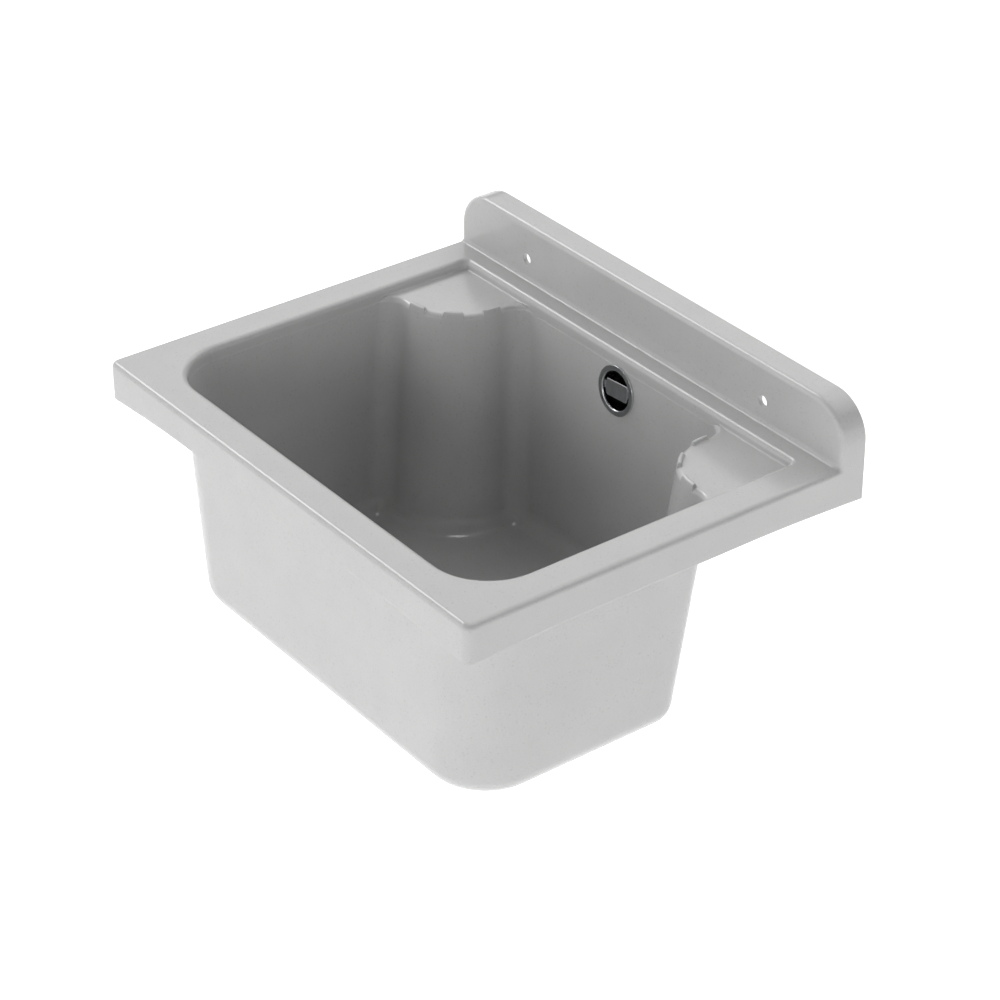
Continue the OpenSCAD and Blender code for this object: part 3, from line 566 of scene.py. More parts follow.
def lathe(name, profile, steps=96, matrix=None, closed=True):
    """A turned piece: profile is (radius, height), about the local Z axis.

    A radius is one number, or an array with a value for each step round the axis.
    """
    bm = bmesh.new()
    rows = []
    turn = np.arange(steps) * 2 * math.pi / steps
    for r, z in profile:
        if np.max(r) < 1e-6:
            rows.append([bm.verts.new((0, 0, z * MM))])
            continue
        reach = np.broadcast_to(r, (steps,)) * MM
        x, y = reach * np.cos(turn), reach * np.sin(turn)
        rows.append([bm.verts.new((x[k], y[k], z * MM)) for k in range(steps)])
    pairs = list(zip(rows, rows[1:]))
    if closed and len(rows[0]) > 1 and len(rows[-1]) > 1:
        pairs.append((rows[-1], rows[0]))
    for a, b in pairs:
        for k in range(steps):
            q = (k + 1) % steps
            if len(a) == 1 and len(b) == 1:
                continue
            if len(a) == 1:
                bm.faces.new((a[0], b[k], b[q]))
            elif len(b) == 1:
                bm.faces.new((a[k], b[0], a[q]))
            else:
                bm.faces.new((a[k], b[k], b[q], a[q]))
    bmesh.ops.recalc_face_normals(bm, faces=bm.faces)
    mesh = bpy.data.meshes.new(name)
    bm.to_mesh(mesh)
    bm.free()
    return place_mesh(name, mesh, matrix)


def rod(r, z0, z1, steps, matrix):
    """A plain cylinder that cuts a hole."""
    return lathe("rod", [(0, z0), (r, z0), (r, z1), (0, z1)], steps, matrix, closed=False)


def plate(name, shape, z0, z1, soft, matrix):
    """A flat piece of the given outline between two heights, with softened edges."""
    shape = np.array(shape, float)
    way = shape - shape.mean(axis=0)
    way /= np.linalg.norm(way, axis=1)[:, None]
    edge = quarter(soft, 3)
    rows = [(shape - way * aside, z0 + up) for aside, up in edge]
    rows += [(shape - way * aside, z1 - up) for aside, up in reversed(edge)]
    n = len(shape)
    verts = [(x * MM, y * MM, z * MM) for row, z in rows for x, y in row]
    faces = [(k * n + i, k * n + (i + 1) % n, (k + 1) * n + (i + 1) % n, (k + 1) * n + i)
             for k in range(len(rows) - 1) for i in range(n)]
    faces += [tuple(range(n - 1, -1, -1)), tuple((len(rows) - 1) * n + i for i in range(n))]
    mesh = bpy.data.meshes.new(name)
    mesh.from_pydata(verts, [], faces)
    return place_mesh(name, mesh, matrix)


def join(name, *objs):
    bm = bmesh.new()
    for obj in objs:
        bm.from_mesh(obj.data)
        bpy.data.objects.remove(obj, do_unlink=True)
    mesh = bpy.data.meshes.new(name)
    bm.to_mesh(mesh)
    bm.free()
    return place_mesh(name, mesh)


def cut(obj, *tools):
    """Take the tools away from a piece, one by one."""
    for tool in tools:
        mod = obj.modifiers.new("cut", "BOOLEAN")
        mod.operation = "DIFFERENCE"
        mod.solver = "EXACT"
        mod.object = tool
        dg = bpy.context.evaluated_depsgraph_get()
        made = bpy.data.meshes.new_from_object(obj.evaluated_get(dg))
        obj.modifiers.clear()
        old = obj.data
        obj.data = made
        bpy.data.meshes.remove(old)
        bpy.data.objects.remove(tool, do_unlink=True)


def shade(obj, angle):
    """Smooth shading up to an angle between faces."""
    for p in obj.data.polygons:
        p.use_smooth = True
    obj.data.set_sharp_from_angle(angle=math.radians(angle))
    weighted = obj.modifiers.new("weighted_normals", "WEIGHTED_NORMAL")
    weighted.keep_sharp = True


def soften(profile, closed=False, steps=5):
    """A profile whose corners are rounded by the third number of each point."""
    out, n = [], len(profile)
    for i, (x, y, r) in enumerate(profile):
        if r <= 0 or (not closed and i in (0, n - 1)):
            out.append((x, y))
            continue
        p = np.array((x, y), float)
        a = np.array(profile[i - 1][:2], float) - p
        b = np.array(profile[(i + 1) % n][:2], float) - p
        la, lb = np.linalg.norm(a), np.linalg.norm(b)
        a, b = a / la, b / lb
        half = 0.5 * math.acos(max(-1.0, min(1.0, float(a @ b))))
        back = min(r / math.tan(half), 0.49 * la, 0.49 * lb)
        centre = p + (a + b) / np.linalg.norm(a + b) * back / math.cos(half)
        start, stop = p + a * back - centre, p + b * back - centre
        for k in range(steps + 1):
            v = start * (1 - k / steps) + stop * (k / steps)
            out.append(tuple(centre + v / np.linalg.norm(v) * np.linalg.norm(start)))
    return out


def thread(crest, depth, pitch, z0, z1, steps=96):
    """Rows of a single-start thread with flat crests and roots, run out at both ends."""
    n = int(abs(z1 - z0) / pitch * 8)
    rows = []
    for k in range(n + 1):
        z = z0 + (z1 - z0) * k / n
        wave = np.abs(2 * ((z / pitch - np.arange(steps) / steps) % 1) - 1)
        height = depth * smooth(min(k, n - k) / 8) * np.clip((wave - 0.15) / 0.7, 0, 1)
        rows.append((crest - depth + height, z))
    return rows


# Fittings, in millimetres; FIT is the gap round what passes through a bore
FIT = 0.2
# The waste's flange with its dish, and the body's seal
FLANGE_R = 35.0
FLANGE_T = 1.2
FLANGE_SEAL_T = 1.5
FLANGE_PROUD = 0.4
DISH_BORE_R = 21.5
DISH_H = 9.0
BODY_R = 38.0
BODY_SEAL_T = 4.0
BODY_D = UNDER_D + BODY_SEAL_T
DISH_D = WASTE_FLAT_D - FLANGE_PROUD + DISH_H
# The recess that seats the flange, and the waste hole and the screw holes in the basin
SEAT = FLANGE_T + FLANGE_SEAL_T - FLANGE_PROUD
RECESS_R = FLANGE_R + FIT
WASTE_HOLE_R = DISH_BORE_R + FLANGE_T + FIT
SCREW_X = 155.0
SCREW_HOLE_R = 5.0
# The overflow, square to the bowl's sloping back, its rose and the seal behind the bowl
OVERFLOW_D = 33.4
TILT = math.atan(BACK_TAPER / BOWL)
AT_OVERFLOW = move(0, back_at(OVERFLOW_D), RIM_Z - OVERFLOW_D) @ Matrix.Rotation(math.pi / 2 - TILT, 4, "X")
ROSE_BORE_R = 17.25
ROSE_R = 22.45
ROSE_TURN = 4.6
SLEEVE_R = ROSE_BORE_R + 1.3
SEAL_R = 25.25
SEAL_BORE_R = 18.75
SEAL_T = 3.0
SEAL_BACK = WALL * math.cos(TILT) + SEAL_T
# The overflow pipe's axis and joints
PIPE_R = 11.0
PIPE_BORE_R = 9.5
SOCKET_R = PIPE_R + FIT
PIPE_REACH = SEAL_BACK + 16.5
PIPE_Y = back_at(OVERFLOW_D) + PIPE_REACH * math.cos(TILT)
ELBOW_Z = RIM_Z - OVERFLOW_D - PIPE_REACH * math.sin(TILT)
ELBOW_END = ELBOW_Z - 47.0
SLIP_Z = RIM_Z - 140.0
INLET_Z = -265.5
INLET_REACH = 52.0
AT_PIPE = move(0, PIPE_Y)
# Compression nuts, and how far each reaches past the end of its socket
NUT_R = 17.8
NUT_H = 17.0
NUT_PAST = 7.0
RIB_R = 1.4
# The plug on the dish's floor
STOPPER_Z = 2.0
STOPPER_H = 7.0
STOPPER_BORE_R = 3.2


def at_waste(depth):
    return move(0, WASTE_Y, RIM_Z - depth)


def build_basin():
    """The moulding with its flange recess, waste hole, overflow hole and screw holes."""
    obj = build_moulding()
    mouth = RECESS_R + 1.2
    cut(obj, lathe("recess", [
        (0, 0), (RECESS_R, 0), (RECESS_R, SEAT - 0.7), (RECESS_R + 0.3, SEAT - 0.15), (mouth, SEAT + 0.2),
        (mouth, SEAT + 3), (0, SEAT + 3)], matrix=at_waste(WASTE_FLAT_D + SEAT), closed=False))
    cut(obj, rod(WASTE_HOLE_R, 0, 12, 96, at_waste(UNDER_D + 2)))
    cut(obj, rod(SLEEVE_R + FIT, 0, 8, 96, AT_OVERFLOW @ move(0, 0, -6)))
    for side in (-1, 1):
        mouth = SCREW_HOLE_R + 0.7
        cut(obj, lathe("screw_hole", [
            (0, -6), (SCREW_HOLE_R, -6), (SCREW_HOLE_R, -0.6), (SCREW_HOLE_R + 0.2, -0.2), (mouth, 0.1),
            (mouth, 2), (0, 2)], 48, move(side * SCREW_X) @ turn_about("X", 90), closed=False))
    shade(obj, angle=32.0)
    return obj


def build_rose():
    """Chromed ring with a threaded sleeve, and the recessed grip plate on two lugs inside it."""
    at = AT_OVERFLOW @ turn_about("Z", ROSE_TURN)
    crest, depth = 18.5, 0.55
    root = crest - depth
    sleeve = soften([(ROSE_BORE_R, -18, 0), (root, -18, 0.2), (root, -16.6, 0)])
    sleeve += thread(crest, depth, 2.0, -16.5, -5.0)
    sleeve += soften([(root, -4.8, 0), (root, 0.0, 0), (ROSE_R, 0.0, 0.1), (ROSE_R, 2.0, 0.3),
                      (ROSE_BORE_R + 0.05, 2.0, 1.2), (ROSE_BORE_R, -1.0, 0)])
    r, half_width = 14.9, 7.75
    lim = math.asin(half_width / r)
    shape = [(r * math.cos(side + a), r * math.sin(side + a))
             for side in (0, math.pi) for a in np.linspace(-lim, lim, 13)]
    parts = [lathe("sleeve", sleeve, matrix=at), plate("bar", shape, -1.9, 0.7, 1.2, at)]
    for side in (-1, 1):
        box = [(side * x, y) for x, y in ((14.2, -3.0), (17.7, -3.0), (17.7, 3.0), (14.2, 3.0))][::side]
        parts.append(plate("lug", box, -5.0, -1.4, 0.3, at))
    rose = join("overflow_rose_detail", *parts)
    # The sleeve's bore, the plate's back and the lugs take the second material, a near-black painted shade
    back = at.inverted()
    for face in rose.data.polygons:
        place = back @ face.center
        reach = math.hypot(place.x, place.y) / MM
        facing = (back.to_3x3() @ face.normal).normalized()
        inward = place.x * facing.x + place.y * facing.y < 0
        in_bore = 16.2 < reach < 17.9 and inward
        behind = place.z < -1.35 * MM and reach < 17.2
        if place.z < 0.4 * MM and (in_bore or behind):
            face.material_index = 1
    return rose


def build_elbow():
    """Rubber cup on the back of the bowl, with a bead round its mouth and a threaded spout below."""
    z = -SEAL_BACK
    cup = lathe("cup", soften([
        (0, z - 29, 0), (21.25, z - 29, 5), (21.25, z - 13, 0.6), (20.9, z - 12, 0.5), (20.9, z - 4.2, 1.2),
        (SEAL_R, z - 4, 1.3), (SEAL_R, z, 0.5), (SEAL_BORE_R, z, 0.4), (SEAL_BORE_R, z - 26.5, 3),
        (0, z - 26.5, 0)]), matrix=AT_OVERFLOW, closed=False)
    cut(cup, rod(PIPE_BORE_R, ELBOW_END, ELBOW_Z, 64, AT_PIPE))
    end, top = ELBOW_END, ELBOW_Z - 12
    crest, depth = 15.0, 0.7
    root, collar, neck = crest - depth, 14.95, 14.5
    rows = soften([(SOCKET_R, end, 0), (root, end, 0.4), (root, end + 1, 0)])
    rows += thread(crest, depth, 2.2, end + 1.1, end + 16)
    rows += soften([(root, end + 16.2, 0), (root, end + 18.5, 0.5), (collar, end + 19.5, 0.5),
                    (collar, end + 22.5, 0.5), (neck, end + 23.5, 0.5), (14.7, top, 0),
                    (PIPE_BORE_R, top, 0), (PIPE_BORE_R, end + 20, 0.3), (SOCKET_R, end + 20, 0.3)])
    spout = lathe("spout", rows, matrix=AT_PIPE)
    cut(spout, rod(SEAL_BORE_R + 0.05, z - 27, z + 4, 96, AT_OVERFLOW))
    return join("overflow_elbow_detail", cup, spout)


def build_nut(name, matrix):
    """Compression nut with rounded grip ribs and bevelled ends."""
    steps, ribs = 240, 12
    pitch = 2 * math.pi / ribs
    off = (np.arange(steps) * 2 * math.pi / steps + pitch / 2) % pitch - pitch / 2
    reach = np.maximum(0.0, RIB_R ** 2 - (NUT_R * np.sin(off)) ** 2)
    rib = np.where(reach > 0, NUT_R * np.cos(off) + np.sqrt(reach) - NUT_R, 0.0)
    low, high = NUT_R - 0.2 + 0.25 * rib, NUT_R + 0.8 * rib
    rows = [(SOCKET_R, 0.0), (15.9, 0.0), (16.9, 0.3), (low, 0.9), (high, 1.6)]
    rows += [(NUT_R + rib, z) for z in (2.4, NUT_H / 2, NUT_H - 2.4)]
    rows += [(high, NUT_H - 1.6), (low, NUT_H - 0.9), (17.1, NUT_H - 0.3), (16.7, NUT_H), (15.6, NUT_H)]
    rows += [(15.2, NUT_H - 0.4), (15.2, 3.0), (SOCKET_R + 0.4, 3.0), (SOCKET_R, 2.6)]
    return lathe(name, rows, steps, matrix)


def build_pipe():
    """Straight overflow pipe, from inside the elbow's spout to inside the lower pipe's socket."""
    low, high = SLIP_Z - 20, ELBOW_END + 20
    return lathe("upper_pipe_detail", soften([
        (PIPE_BORE_R, low, 0.4), (PIPE_R, low, 0.6), (PIPE_R, high, 0.6), (PIPE_BORE_R, high, 0.4)],
        closed=True), 64, AT_PIPE)


def build_strainer():
    """Pressed flange and dish with rolled edges and a ring of holes."""
    at = at_waste(DISH_D + FLANGE_T)
    top = DISH_H + FLANGE_T
    dish = lathe("waste_flange_detail", soften([
        (0, 0, 0), (DISH_BORE_R + FLANGE_T, 0, 2.4), (DISH_BORE_R + FLANGE_T, DISH_H, 0.6),
        (FLANGE_R, DISH_H, 0.15), (FLANGE_R, top, 0.7), (23.3, top, 1.9), (DISH_BORE_R, 8.4, 1.0),
        (DISH_BORE_R, FLANGE_T, 1.5), (0, FLANGE_T, 0)]), 128, at, closed=False)
    holes, hole_r, spread = 8, 4.0, 14.9
    tools = []
    for k in range(holes):
        spin = at @ turn_about("Z", 360 / holes * k) @ move(spread)
        tools.append(lathe("hole", [(0, -2), (hole_r, -2), (hole_r, 0.9), (hole_r + 0.35, 1.25),
                                    (hole_r + 0.35, 3), (0, 3)], 32, spin, closed=False))
    tools.append(rod(3.05, -2, 3, 32, at))
    cut(dish, join("holes", *tools))
    return dish


def build_screw():
    """Raised-head screw with a slot and a full thread."""
    at = at_waste(DISH_D)
    steps, crest, depth = 48, 2.98, 0.45
    shank, head, tip = 2.95, 6.5, -46.4
    rows = soften([(0, tip, 0), (2.2, tip, 0.3), (2.55, tip + 0.5, 0)])
    rows += thread(crest, depth, 1.25, -45.8, -12.0, steps)
    rows += soften([(crest - depth, -11.8, 0), (shank, -11.3, 0.2), (shank, 0, 0), (head, 0, 0.2),
                    (head, 1.3, 0.5), (4.6, 2.75, 1.5), (0, 3.0, 0)])
    screw = lathe("waste_screw_detail", rows, steps, at, closed=False)
    slot = [(-9, -0.8), (9, -0.8), (9, 0.8), (-9, 0.8)]
    cut(screw, plate("slot", slot, 1.6, 5.0, 0.05, at @ turn_about("Z", 28)))
    return screw


def build_stopper():
    """Rubber stopper with a stepped foot and a lip that seals on the dish's edge."""
    h, foot, lip = STOPPER_H, 11.66, 21.2
    return lathe("plug_stopper_detail", soften([
        (STOPPER_BORE_R, 3.5, 0.2), (foot, 3.5, 1.4), (foot, 0, 0.6), (20.0, 0, 0.8), (20.55, 2.6, 0),
        (20.35, 2.9, 0.2), (20.5, 3.3, 0), (lip, 5.8, 0.5), (lip, h, 0.5), (STOPPER_BORE_R, h, 0.2)],
        closed=True), matrix=at_waste(DISH_D) @ move(0, 0, STOPPER_Z))


def build_cap():
    """Chromed disc with a pull knob, held by a barbed stem through the stopper."""
    stem, neck, knob, disc = 3.0, 4.2, 7.0, 20.0
    return lathe("plug_cap_detail", soften([
        (0, -5, 0), (stem, -5, 0.4), (neck, -3.5, 0.2), (stem, -3.5, 0.1), (stem, 0, 0.1), (disc, 0, 0.15),
        (disc, 1.5, 0.7), (12, 1.6, 0), (neck, 1.6, 1.2), (neck, 4.6, 1.4), (knob, 6.1, 1.1),
        (knob, 10.2, 2.2), (3.4, 10.6, 1.0), (0, 10.6, 0)]),
        matrix=at_waste(DISH_D) @ move(0, 0, STOPPER_Z + STOPPER_H), closed=False)


def build_body():
    """Waste cup with its flange, threaded outlet, side inlet and the cross that holds the insert."""
    at = at_waste(BODY_D)
    inner, outer, end, outlet, outlet_bore = WASTE_HOLE_R, 25.7, -47.5, 22.75, 20.0
    rows = soften([(inner, -20, 0), (inner, 0, 0.3), (BODY_R, 0, 0.4), (BODY_R, -3.5, 0.9),
                   (outer, -3.5, 1.6), (outer, end, 1.0), (outlet, end, 0.3), (outlet, end - 0.6, 0)])
    rows += thread(23.88, 1.15, 2.31, end - 0.7, -66.4)
    rows += soften([(outlet, -66.6, 0), (outlet, -67.5, 0.4), (outlet_bore, -67.5, 0.5),
                    (outlet_bore, -44.7, 0.7), (inner, -44.7, 1.0), (inner, -20, 0)])[:-1]
    cup = lathe("cup", rows, matrix=at)
    spigot, mouth = 14.2, INLET_REACH
    rows = soften([(PIPE_BORE_R, 18, 0), (spigot, 18, 0), (spigot, 35.5, 0)])
    rows += thread(15.0, 0.75, 2.2, 36, 50.8)
    rows += soften([(spigot, 51, 0), (spigot, mouth, 0.4), (SOCKET_R, mouth, 0.4), (SOCKET_R, 32, 0.2),
                    (PIPE_BORE_R, 32, 0.2)])
    inlet = lathe("inlet", rows, matrix=at @ move(0, 0, INLET_Z - RIM_Z + BODY_D) @ turn_about("X", -90))
    cut(inlet, rod(inner + 0.05, -44, 0, 96, at))
    hub_r, insert_r, insert_end, top = 8.5, 6.0, -41.7, -32.7
    hub = lathe("hub", soften([
        (3.2, end, 0.3), (hub_r, end, 0.5), (hub_r, top, 0.8), (insert_r, top, 0.2),
        (insert_r, insert_end, 0.2), (3.2, insert_end, 0.2)], closed=True), 48, at)
    arms = []
    for k in range(4):
        box = [(8.0, -1.5), (23.6, -1.5), (23.6, 1.5), (8.0, 1.5)]
        arms.append(plate("arm", box, end, top, 0.4, at @ turn_about("Z", 45 + 90 * k)))
    return join("waste_body_detail", cup, inlet, hub, *arms)


def build_washer(name, r, bore_r, t, matrix):
    """Flat rubber seal with rounded edges and a parting line round its rim."""
    line = 0.15
    return lathe(name, soften([
        (bore_r, 0, 0.4), (r, 0, 0.5), (r, t / 2 - line, 0), (r - 0.2, t / 2, 0), (r, t / 2 + line, 0),
        (r, t, 0.5), (bore_r, t, 0.4)], closed=True), matrix=matrix)


# Materials
class Graph:
    """The nodes of one material or of the world, with a short call for each kind used here."""

    def __init__(self, owner):
        owner.use_nodes = True
        self.nodes = owner.node_tree.nodes
        self.links = owner.node_tree.links

    def fill(self, node, inputs):
        """Feed inputs, by name or number: link another node's output, or set a number or a colour."""
        for name, value in inputs.items():
            if isinstance(value, bpy.types.NodeSocket):
                self.links.new(value, node.inputs[name])
            else:
                node.inputs[name].default_value = (*value, 1.0) if isinstance(value, tuple) else value

    def add(self, kind, inputs):
        node = self.nodes.new("ShaderNode" + kind)
        self.fill(node, inputs)
        return node

    def calc(self, operation, *values):
        node = self.add("Math", dict(enumerate(values)))
        node.operation = operation
        return node.outputs[0]

    def noise(self, coord, scale, detail=2.0, rough=0.5):
        inputs = {"Vector": coord, "Scale": scale, "Detail": detail, "Roughness": rough}
        return self.add("TexNoise", inputs).outputs["Fac"]

    def ramp(self, value, lo, hi, out_lo=0.0, out_hi=1.0):
        inputs = {"Value": value, "From Min": lo, "From Max": hi, "To Min": out_lo, "To Max": out_hi}
        return self.add("MapRange", inputs).outputs["Result"]

    def mix(self, fac, a, b):
        """A colour from a to b; the node's colour inputs are numbers 6 and 7."""
        node = self.add("Mix", {})
        node.data_type = "RGBA"
        self.fill(node, {"Factor": fac, 6: a, 7: b})
        return node.outputs[2]

    def specks(self, coord, scale, size, share):
        """Dots of up to size (in shares of a cell), in that share of the cells; 1 at a dot."""
        cells = self.add("TexVoronoi", {"Vector": coord, "Scale": scale})
        split = self.add("SeparateColor", {"Color": cells.outputs["Color"]})
        chosen = self.ramp(split.outputs[0], share - 0.001, share, 1.0, 0.0)
        radius = self.ramp(split.outputs[1], 0.0, 1.0, size * 0.45, size)
        inside = self.calc("SUBTRACT", radius, cells.outputs["Distance"])
        return self.calc("MULTIPLY", self.ramp(inside, -0.02, 0.05), chosen)

    def bump(self, shader, height, strength, distance):
        node = self.add("Bump", {"Height": height, "Strength": strength, "Distance": distance})
        self.fill(shader, {"Normal": node.outputs["Normal"]})


def new_material(name):
    """A new material, its graph, its shader and its coordinates in metres."""
    mat = bpy.data.materials.new(name)
    graph = Graph(mat)
    coord = graph.add("TexCoord", {}).outputs["Object"]
    return mat, graph, graph.nodes["Principled BSDF"], coord


def fitting(name, grain, spread, colours, gloss, relief=None, metallic=0.0, specular=0.5):
    """A material whose colour and roughness follow one noise, with a finer noise as its relief.

    grain is the noise's scale, detail and roughness, spread the part of it that the two colours
    take, and gloss that of the roughness with its values at the ends. relief is the finer noise's
    scale and detail, its strength and its distance in metres.
    """
    mat, graph, shader, coord = new_material(name)
    wear = graph.noise(coord, *grain)
    tint = graph.ramp(wear, *spread) if spread else wear
    graph.fill(shader, {"Base Color": graph.mix(tint, *colours), "Roughness": graph.ramp(wear, *gloss),
                        "Metallic": metallic, "Specular IOR Level": specular})
    if relief:
        scale, detail, strength, distance = relief
        graph.bump(shader, graph.noise(coord, scale, detail), strength, distance)
    return mat


def granite():
    """Light grey composite with fine dark specks under a half-gloss gel surface."""
    mat, graph, shader, coord = new_material("granite_composite")
    cloud = graph.ramp(graph.noise(coord, 26.0, 3.0), 0.3, 0.7)
    base = graph.mix(cloud, (0.565, 0.567, 0.565), (0.59, 0.592, 0.588))
    fine = graph.ramp(graph.noise(coord, 900.0, 3.0, 0.6), 0.35, 0.75, 0.0, 0.34)
    base = graph.mix(fine, base, (0.47, 0.47, 0.47))
    # Cells in a metre, size, share of the cells, strength and colour of each kind of speck
    for scale, size, share, strength, colour in (
            (520.0, 0.4, 0.5, 0.07, (0.2, 0.2, 0.205)),
            (330.0, 0.34, 0.30, 0.12, (0.16, 0.16, 0.165)),
            (190.0, 0.2, 0.25, 0.11, (0.12, 0.12, 0.125)),
            (210.0, 0.22, 0.3, 0.10, (0.78, 0.78, 0.77))):
        dots = graph.specks(coord, scale, size, share)
        base = graph.mix(graph.calc("MULTIPLY", dots, strength), base, colour)
    gloss = graph.ramp(graph.noise(coord, 60.0, 4.0), 0.3, 0.7, 0.13, 0.19)
    graph.fill(shader, {"Base Color": base, "Roughness": gloss, "IOR": 1.5, "Specular IOR Level": 0.55})
    graph.bump(shader, graph.noise(coord, 420.0, 2.0), 0.10, 0.0004)
    return mat


def chrome():
    """Polished plating with faint smudges."""
    tints = ((0.62, 0.63, 0.65), (0.70, 0.71, 0.73))
    return fitting("chrome_plate", (140.0, 4.0, 0.6), (0.3, 0.7), tints, (0.35, 0.75, 0.10, 0.20),
                   (700.0, 2.0, 0.05, 0.0002), metallic=1.0)


def bore():
    """Near-black painted shade inside the overflow, dull, with a faint random tone."""
    tints = ((0.012, 0.012, 0.013), (0.035, 0.035, 0.034))
    return fitting("painted_shade_in_bore", (320.0, 4.0, 0.6), (0.35, 0.75), tints, (0.3, 0.7, 0.5, 0.7),
                   (900.0, 3.0, 0.2, 0.0002), specular=0.25)


def rubber():
    """Black rubber with some dust on it."""
    tints = ((0.018, 0.018, 0.019), (0.045, 0.044, 0.043))
    return fitting("black_rubber", (240.0, 4.0, 0.65), (0.4, 0.8), tints, (0.3, 0.7, 0.55, 0.72),
                   (1300.0, 3.0, 0.25, 0.0003), specular=0.35)


def plastic():
    """White moulded plastic with a fine satin grain."""
    tints = ((0.74, 0.74, 0.725), (0.80, 0.80, 0.79))
    return fitting("white_plastic", (55.0, 4.0), (0.3, 0.7), tints, (0.3, 0.7, 0.36, 0.48),
                   (1500.0, 2.0, 0.12, 0.0002))


def brass():
    """Turned brass, without relief."""
    tints = ((0.62, 0.44, 0.17), (0.74, 0.57, 0.27))
    return fitting("turned_brass", (900.0, 2.0), None, tints, (0.3, 0.7, 0.24, 0.36), metallic=1.0)


# bore is near-black painted shade for the inside of the overflow rose
MATERIALS = {"granite": granite(), "chrome": chrome(), "bore": bore(), "rubber": rubber(),
             "plastic": plastic(), "brass": brass()}


# CAD nodes, with the materials of their slots
def smooth_group():
    """Geometry nodes that join a CAD mesh's facets and shade it smooth up to 30 degrees."""
    group = bpy.data.node_groups.new("smooth_by_angle", "GeometryNodeTree")
    for way in ("INPUT", "OUTPUT"):
        group.interface.new_socket("Geometry", in_out=way, socket_type="NodeSocketGeometry")
    nodes, links = group.nodes, group.links
    first, last = nodes.new("NodeGroupInput"), nodes.new("NodeGroupOutput")
    merge = nodes.new("GeometryNodeMergeByDistance")
    merge.inputs["Distance"].default_value = 1e-6
    angle = nodes.new("GeometryNodeInputMeshEdgeAngle")
    less = nodes.new("FunctionNodeCompare")
    less.data_type = "FLOAT"
    less.operation = "LESS_THAN"
    less.inputs[1].default_value = math.radians(30)
    edges = nodes.new("GeometryNodeSetShadeSmooth")
    edges.domain = "EDGE"
    faces = nodes.new("GeometryNodeSetShadeSmooth")
    faces.domain = "FACE"
    links.new(first.outputs[0], merge.inputs["Geometry"])
    links.new(merge.outputs[0], faces.inputs["Geometry"])
    links.new(faces.outputs[0], edges.inputs["Geometry"])
    links.new(angle.outputs["Unsigned Angle"], less.inputs[0])
    links.new(less.outputs[0], edges.inputs["Shade Smooth"])
    links.new(edges.outputs[0], last.inputs[0])
    return group


SMOOTH = smooth_group()
slots = {s["node"]: s["material_slot"] for s in frame["record"]["subparts"]}
for name, obj in frame["nodes"].items():
    for s in obj.material_slots:
        s.link = "OBJECT"
        s.material = MATERIALS[slots[name]]
    mod = obj.modifiers.new("smooth", "NODES")
    mod.node_group = SMOOTH


# Pieces in the place of nodes
def dress(obj, slot, body, node):
    """Give a piece its material and its body, and let it stand in for its node."""
    obj.data.materials.clear()
    obj.data.materials.append(MATERIALS[slot])
    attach(obj, body)
    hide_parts(node)


dress(build_basin(), "granite", "sink", "basin")
AT_SEAL = AT_OVERFLOW @ move(0, 0, -SEAL_BACK)
AT_ELBOW = move(0, PIPE_Y, ELBOW_END - NUT_PAST)
AT_SLIP = move(0, PIPE_Y, SLIP_Z + NUT_PAST) @ turn_about("X", 180)
AT_INLET = move(0, WASTE_Y + INLET_REACH + NUT_PAST, INLET_Z) @ turn_about("X", 90)
AT_BODY = at_waste(BODY_D)
for piece, slot, body, node in (
        (build_rose(), "chrome", "sink", "overflow_rose"),
        (build_washer("overflow_seal_detail", SEAL_R, SEAL_BORE_R, SEAL_T, AT_SEAL), "rubber", "sink",
         "overflow_seal"),
        (build_elbow(), "rubber", "sink", "overflow_elbow"),
        (build_nut("elbow_nut_detail", AT_ELBOW), "plastic", "sink", "elbow_nut"),
        (build_pipe(), "plastic", "sink", "upper_pipe"),
        (build_nut("slip_nut_detail", AT_SLIP), "plastic", "sink", "slip_nut"),
        (build_nut("inlet_nut_detail", AT_INLET), "plastic", "sink", "inlet_nut"),
        (build_strainer(), "chrome", "sink", "waste_flange"),
        (build_screw(), "chrome", "sink", "waste_screw"),
        (build_washer("body_seal_detail", BODY_R, WASTE_HOLE_R, BODY_SEAL_T, AT_BODY), "rubber", "sink",
         "body_seal"),
        (build_body(), "plastic", "sink", "waste_body"),
        (build_stopper(), "rubber", "plug", "plug_stopper"),
        (build_cap(), "chrome", "plug", "plug_cap")):
    shade(piece, angle=35.0)
    dress(piece, slot, body, node)
    # The rose's second material is near-black painted shade for its bore and the parts behind its plate
    if node == "overflow_rose":
        piece.data.materials.append(MATERIALS["bore"])

# Studio, in metres
FLOOR_HALF = 14.0
FLOOR_Z = -0.87
FLOOR_GLOW = 0.42


def floor():
    """White floor far below the sink, bright enough to run into the surround."""
    mesh = bpy.data.meshes.new("floor")
    corners = ((-1, -1), (1, -1), (1, 1), (-1, 1))
    mesh.from_pydata([(x * FLOOR_HALF, y * FLOOR_HALF, FLOOR_Z) for x, y in corners], [], [(0, 1, 2, 3)])
    obj = place_mesh("floor", mesh)
    mat, graph, shader, coord = new_material("floor_pale")
    tint = graph.mix(graph.noise(coord, 1.5, 2.0), (0.93, 0.93, 0.93), (0.95, 0.95, 0.95))
    graph.fill(shader, {"Base Color": tint, "Roughness": 0.9, "Specular IOR Level": 0.1,
                        "Emission Color": (1.0, 1.0, 1.0), "Emission Strength": FLOOR_GLOW})
    mesh.materials.append(mat)


# Soft surround, by the sine of the height above the horizon: its mean brightness, and how much
# brighter it is towards +X and towards +Y. The two ranges pack these into the ramp's colours
SURROUND = ((0.0, 0.630, 0.869, -0.898), (0.26, 0.812, 0.186, -1.253), (0.5, 0.457, -1.176, 0.632),
            (0.77, 0.011, -0.634, 0.195), (1.0, 0.010, -0.054, -0.026))
MEAN_RANGE = 4.0
LEAN_RANGE = 3.0
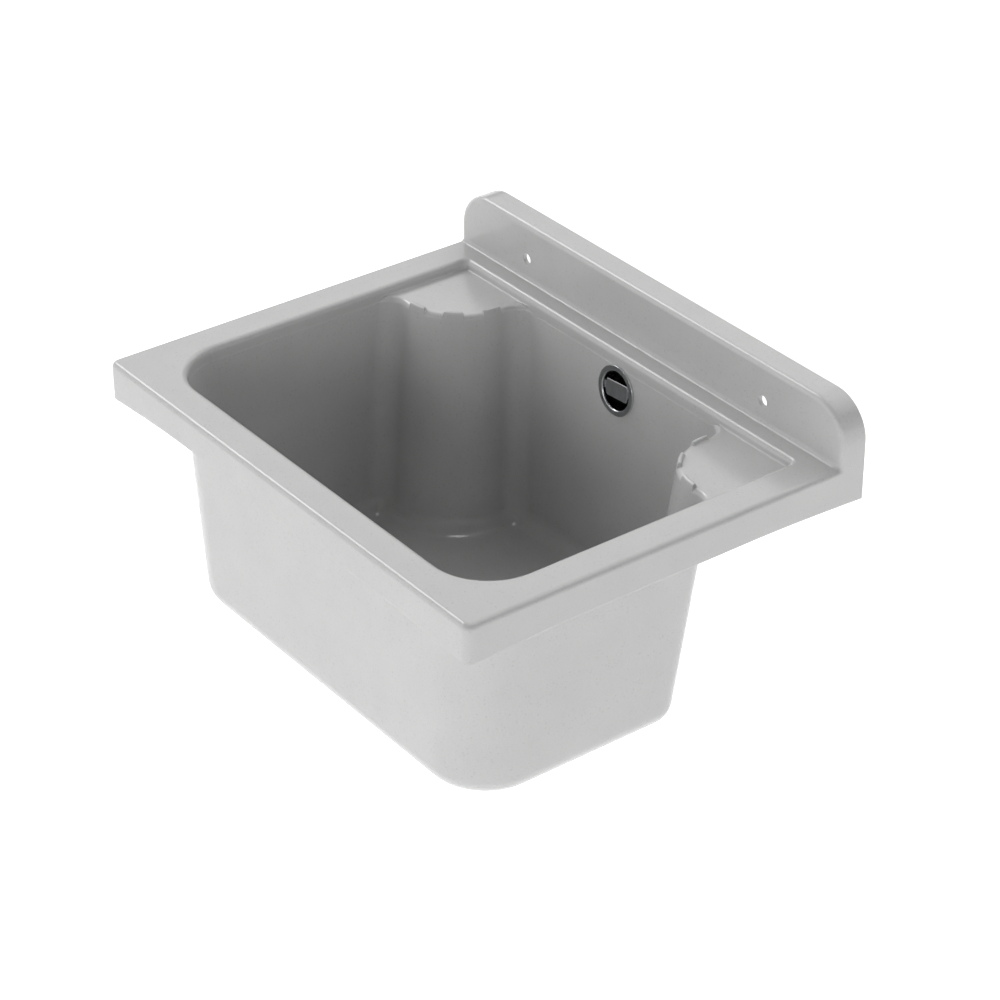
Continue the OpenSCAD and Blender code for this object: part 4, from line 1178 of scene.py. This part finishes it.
# The lowest part of the room is this white all round, and fades out between two sines
LOW_WHITE = 1.1
LOW_FADE = (0.13, 0.2)
# Panels: azimuth, height, core and rim in degrees, strength
PANELS = ((183.0, 43.0, 6.0, 14.0, 6.3), (92.0, 52.0, 12.0, 32.0, 1.7), (-45.0, 48.0, 5.0, 11.0, 0.6))


def surround():
    """The world's light, as a function of the direction that is looked in."""
    world = bpy.data.worlds.new("surround")
    scene.world = world
    graph = Graph(world)
    coord = graph.add("TexCoord", {}).outputs["Generated"]
    x, y, z = graph.add("SeparateXYZ", {0: coord}).outputs
    square = graph.calc("ADD", graph.calc("MULTIPLY", x, x), graph.calc("MULTIPLY", y, y))
    flat = graph.calc("MAXIMUM", graph.calc("SQRT", square), 0.05)
    table = graph.add("ValToRGB", {"Fac": z})
    stops = table.color_ramp.elements
    while len(stops) < len(SURROUND):
        stops.new(0.5)
    for stop, (place, mean, *lean) in zip(stops, SURROUND):
        stop.position = place
        stop.color = (mean / MEAN_RANGE, *((v + LEAN_RANGE) / (2 * LEAN_RANGE) for v in lean), 1.0)
    middle, right, back = graph.add("SeparateColor", {"Color": table.outputs["Color"]}).outputs
    total = graph.calc("MULTIPLY", middle, MEAN_RANGE)
    for part, way in ((right, x), (back, y)):
        lean = graph.ramp(part, 0.0, 1.0, -LEAN_RANGE, LEAN_RANGE)
        total = graph.calc("ADD", total, graph.calc("MULTIPLY", lean, graph.calc("DIVIDE", way, flat)))
    total = graph.calc("MAXIMUM", total, graph.ramp(z, *LOW_FADE, LOW_WHITE, 0.0))
    for azimuth, height, core, rim, strength in PANELS:
        a, h = math.radians(azimuth), math.radians(height)
        facing = graph.add("VectorMath", {0: coord})
        facing.operation = "DOT_PRODUCT"
        facing.inputs[1].default_value = (math.cos(h) * math.cos(a), math.cos(h) * math.sin(a), math.sin(h))
        dim, full = math.cos(math.radians(rim)), math.cos(math.radians(core))
        total = graph.calc("ADD", total, graph.ramp(facing.outputs["Value"], dim, full, 0.0, strength))
    graph.fill(graph.nodes["Background"], {"Color": (1.0, 1.0, 1.0), "Strength": total})


def softbox(name, loc, target, size, power):
    """A square light of that size and power, turned to a target."""
    data = bpy.data.lights.new(name, "AREA")
    data.energy = power
    data.shape = "RECTANGLE"
    data.size = size
    data.size_y = size
    obj = bpy.data.objects.new(name, data)
    scene.collection.objects.link(obj)
    obj.location = loc
    obj.rotation_euler = (Vector(target) - Vector(loc)).to_track_quat("-Z", "Y").to_euler()


floor()
surround()
softbox("softbox_top", (-0.25, 0.05, 1.9), (0, -0.17, -0.1), 0.35, 2.1)
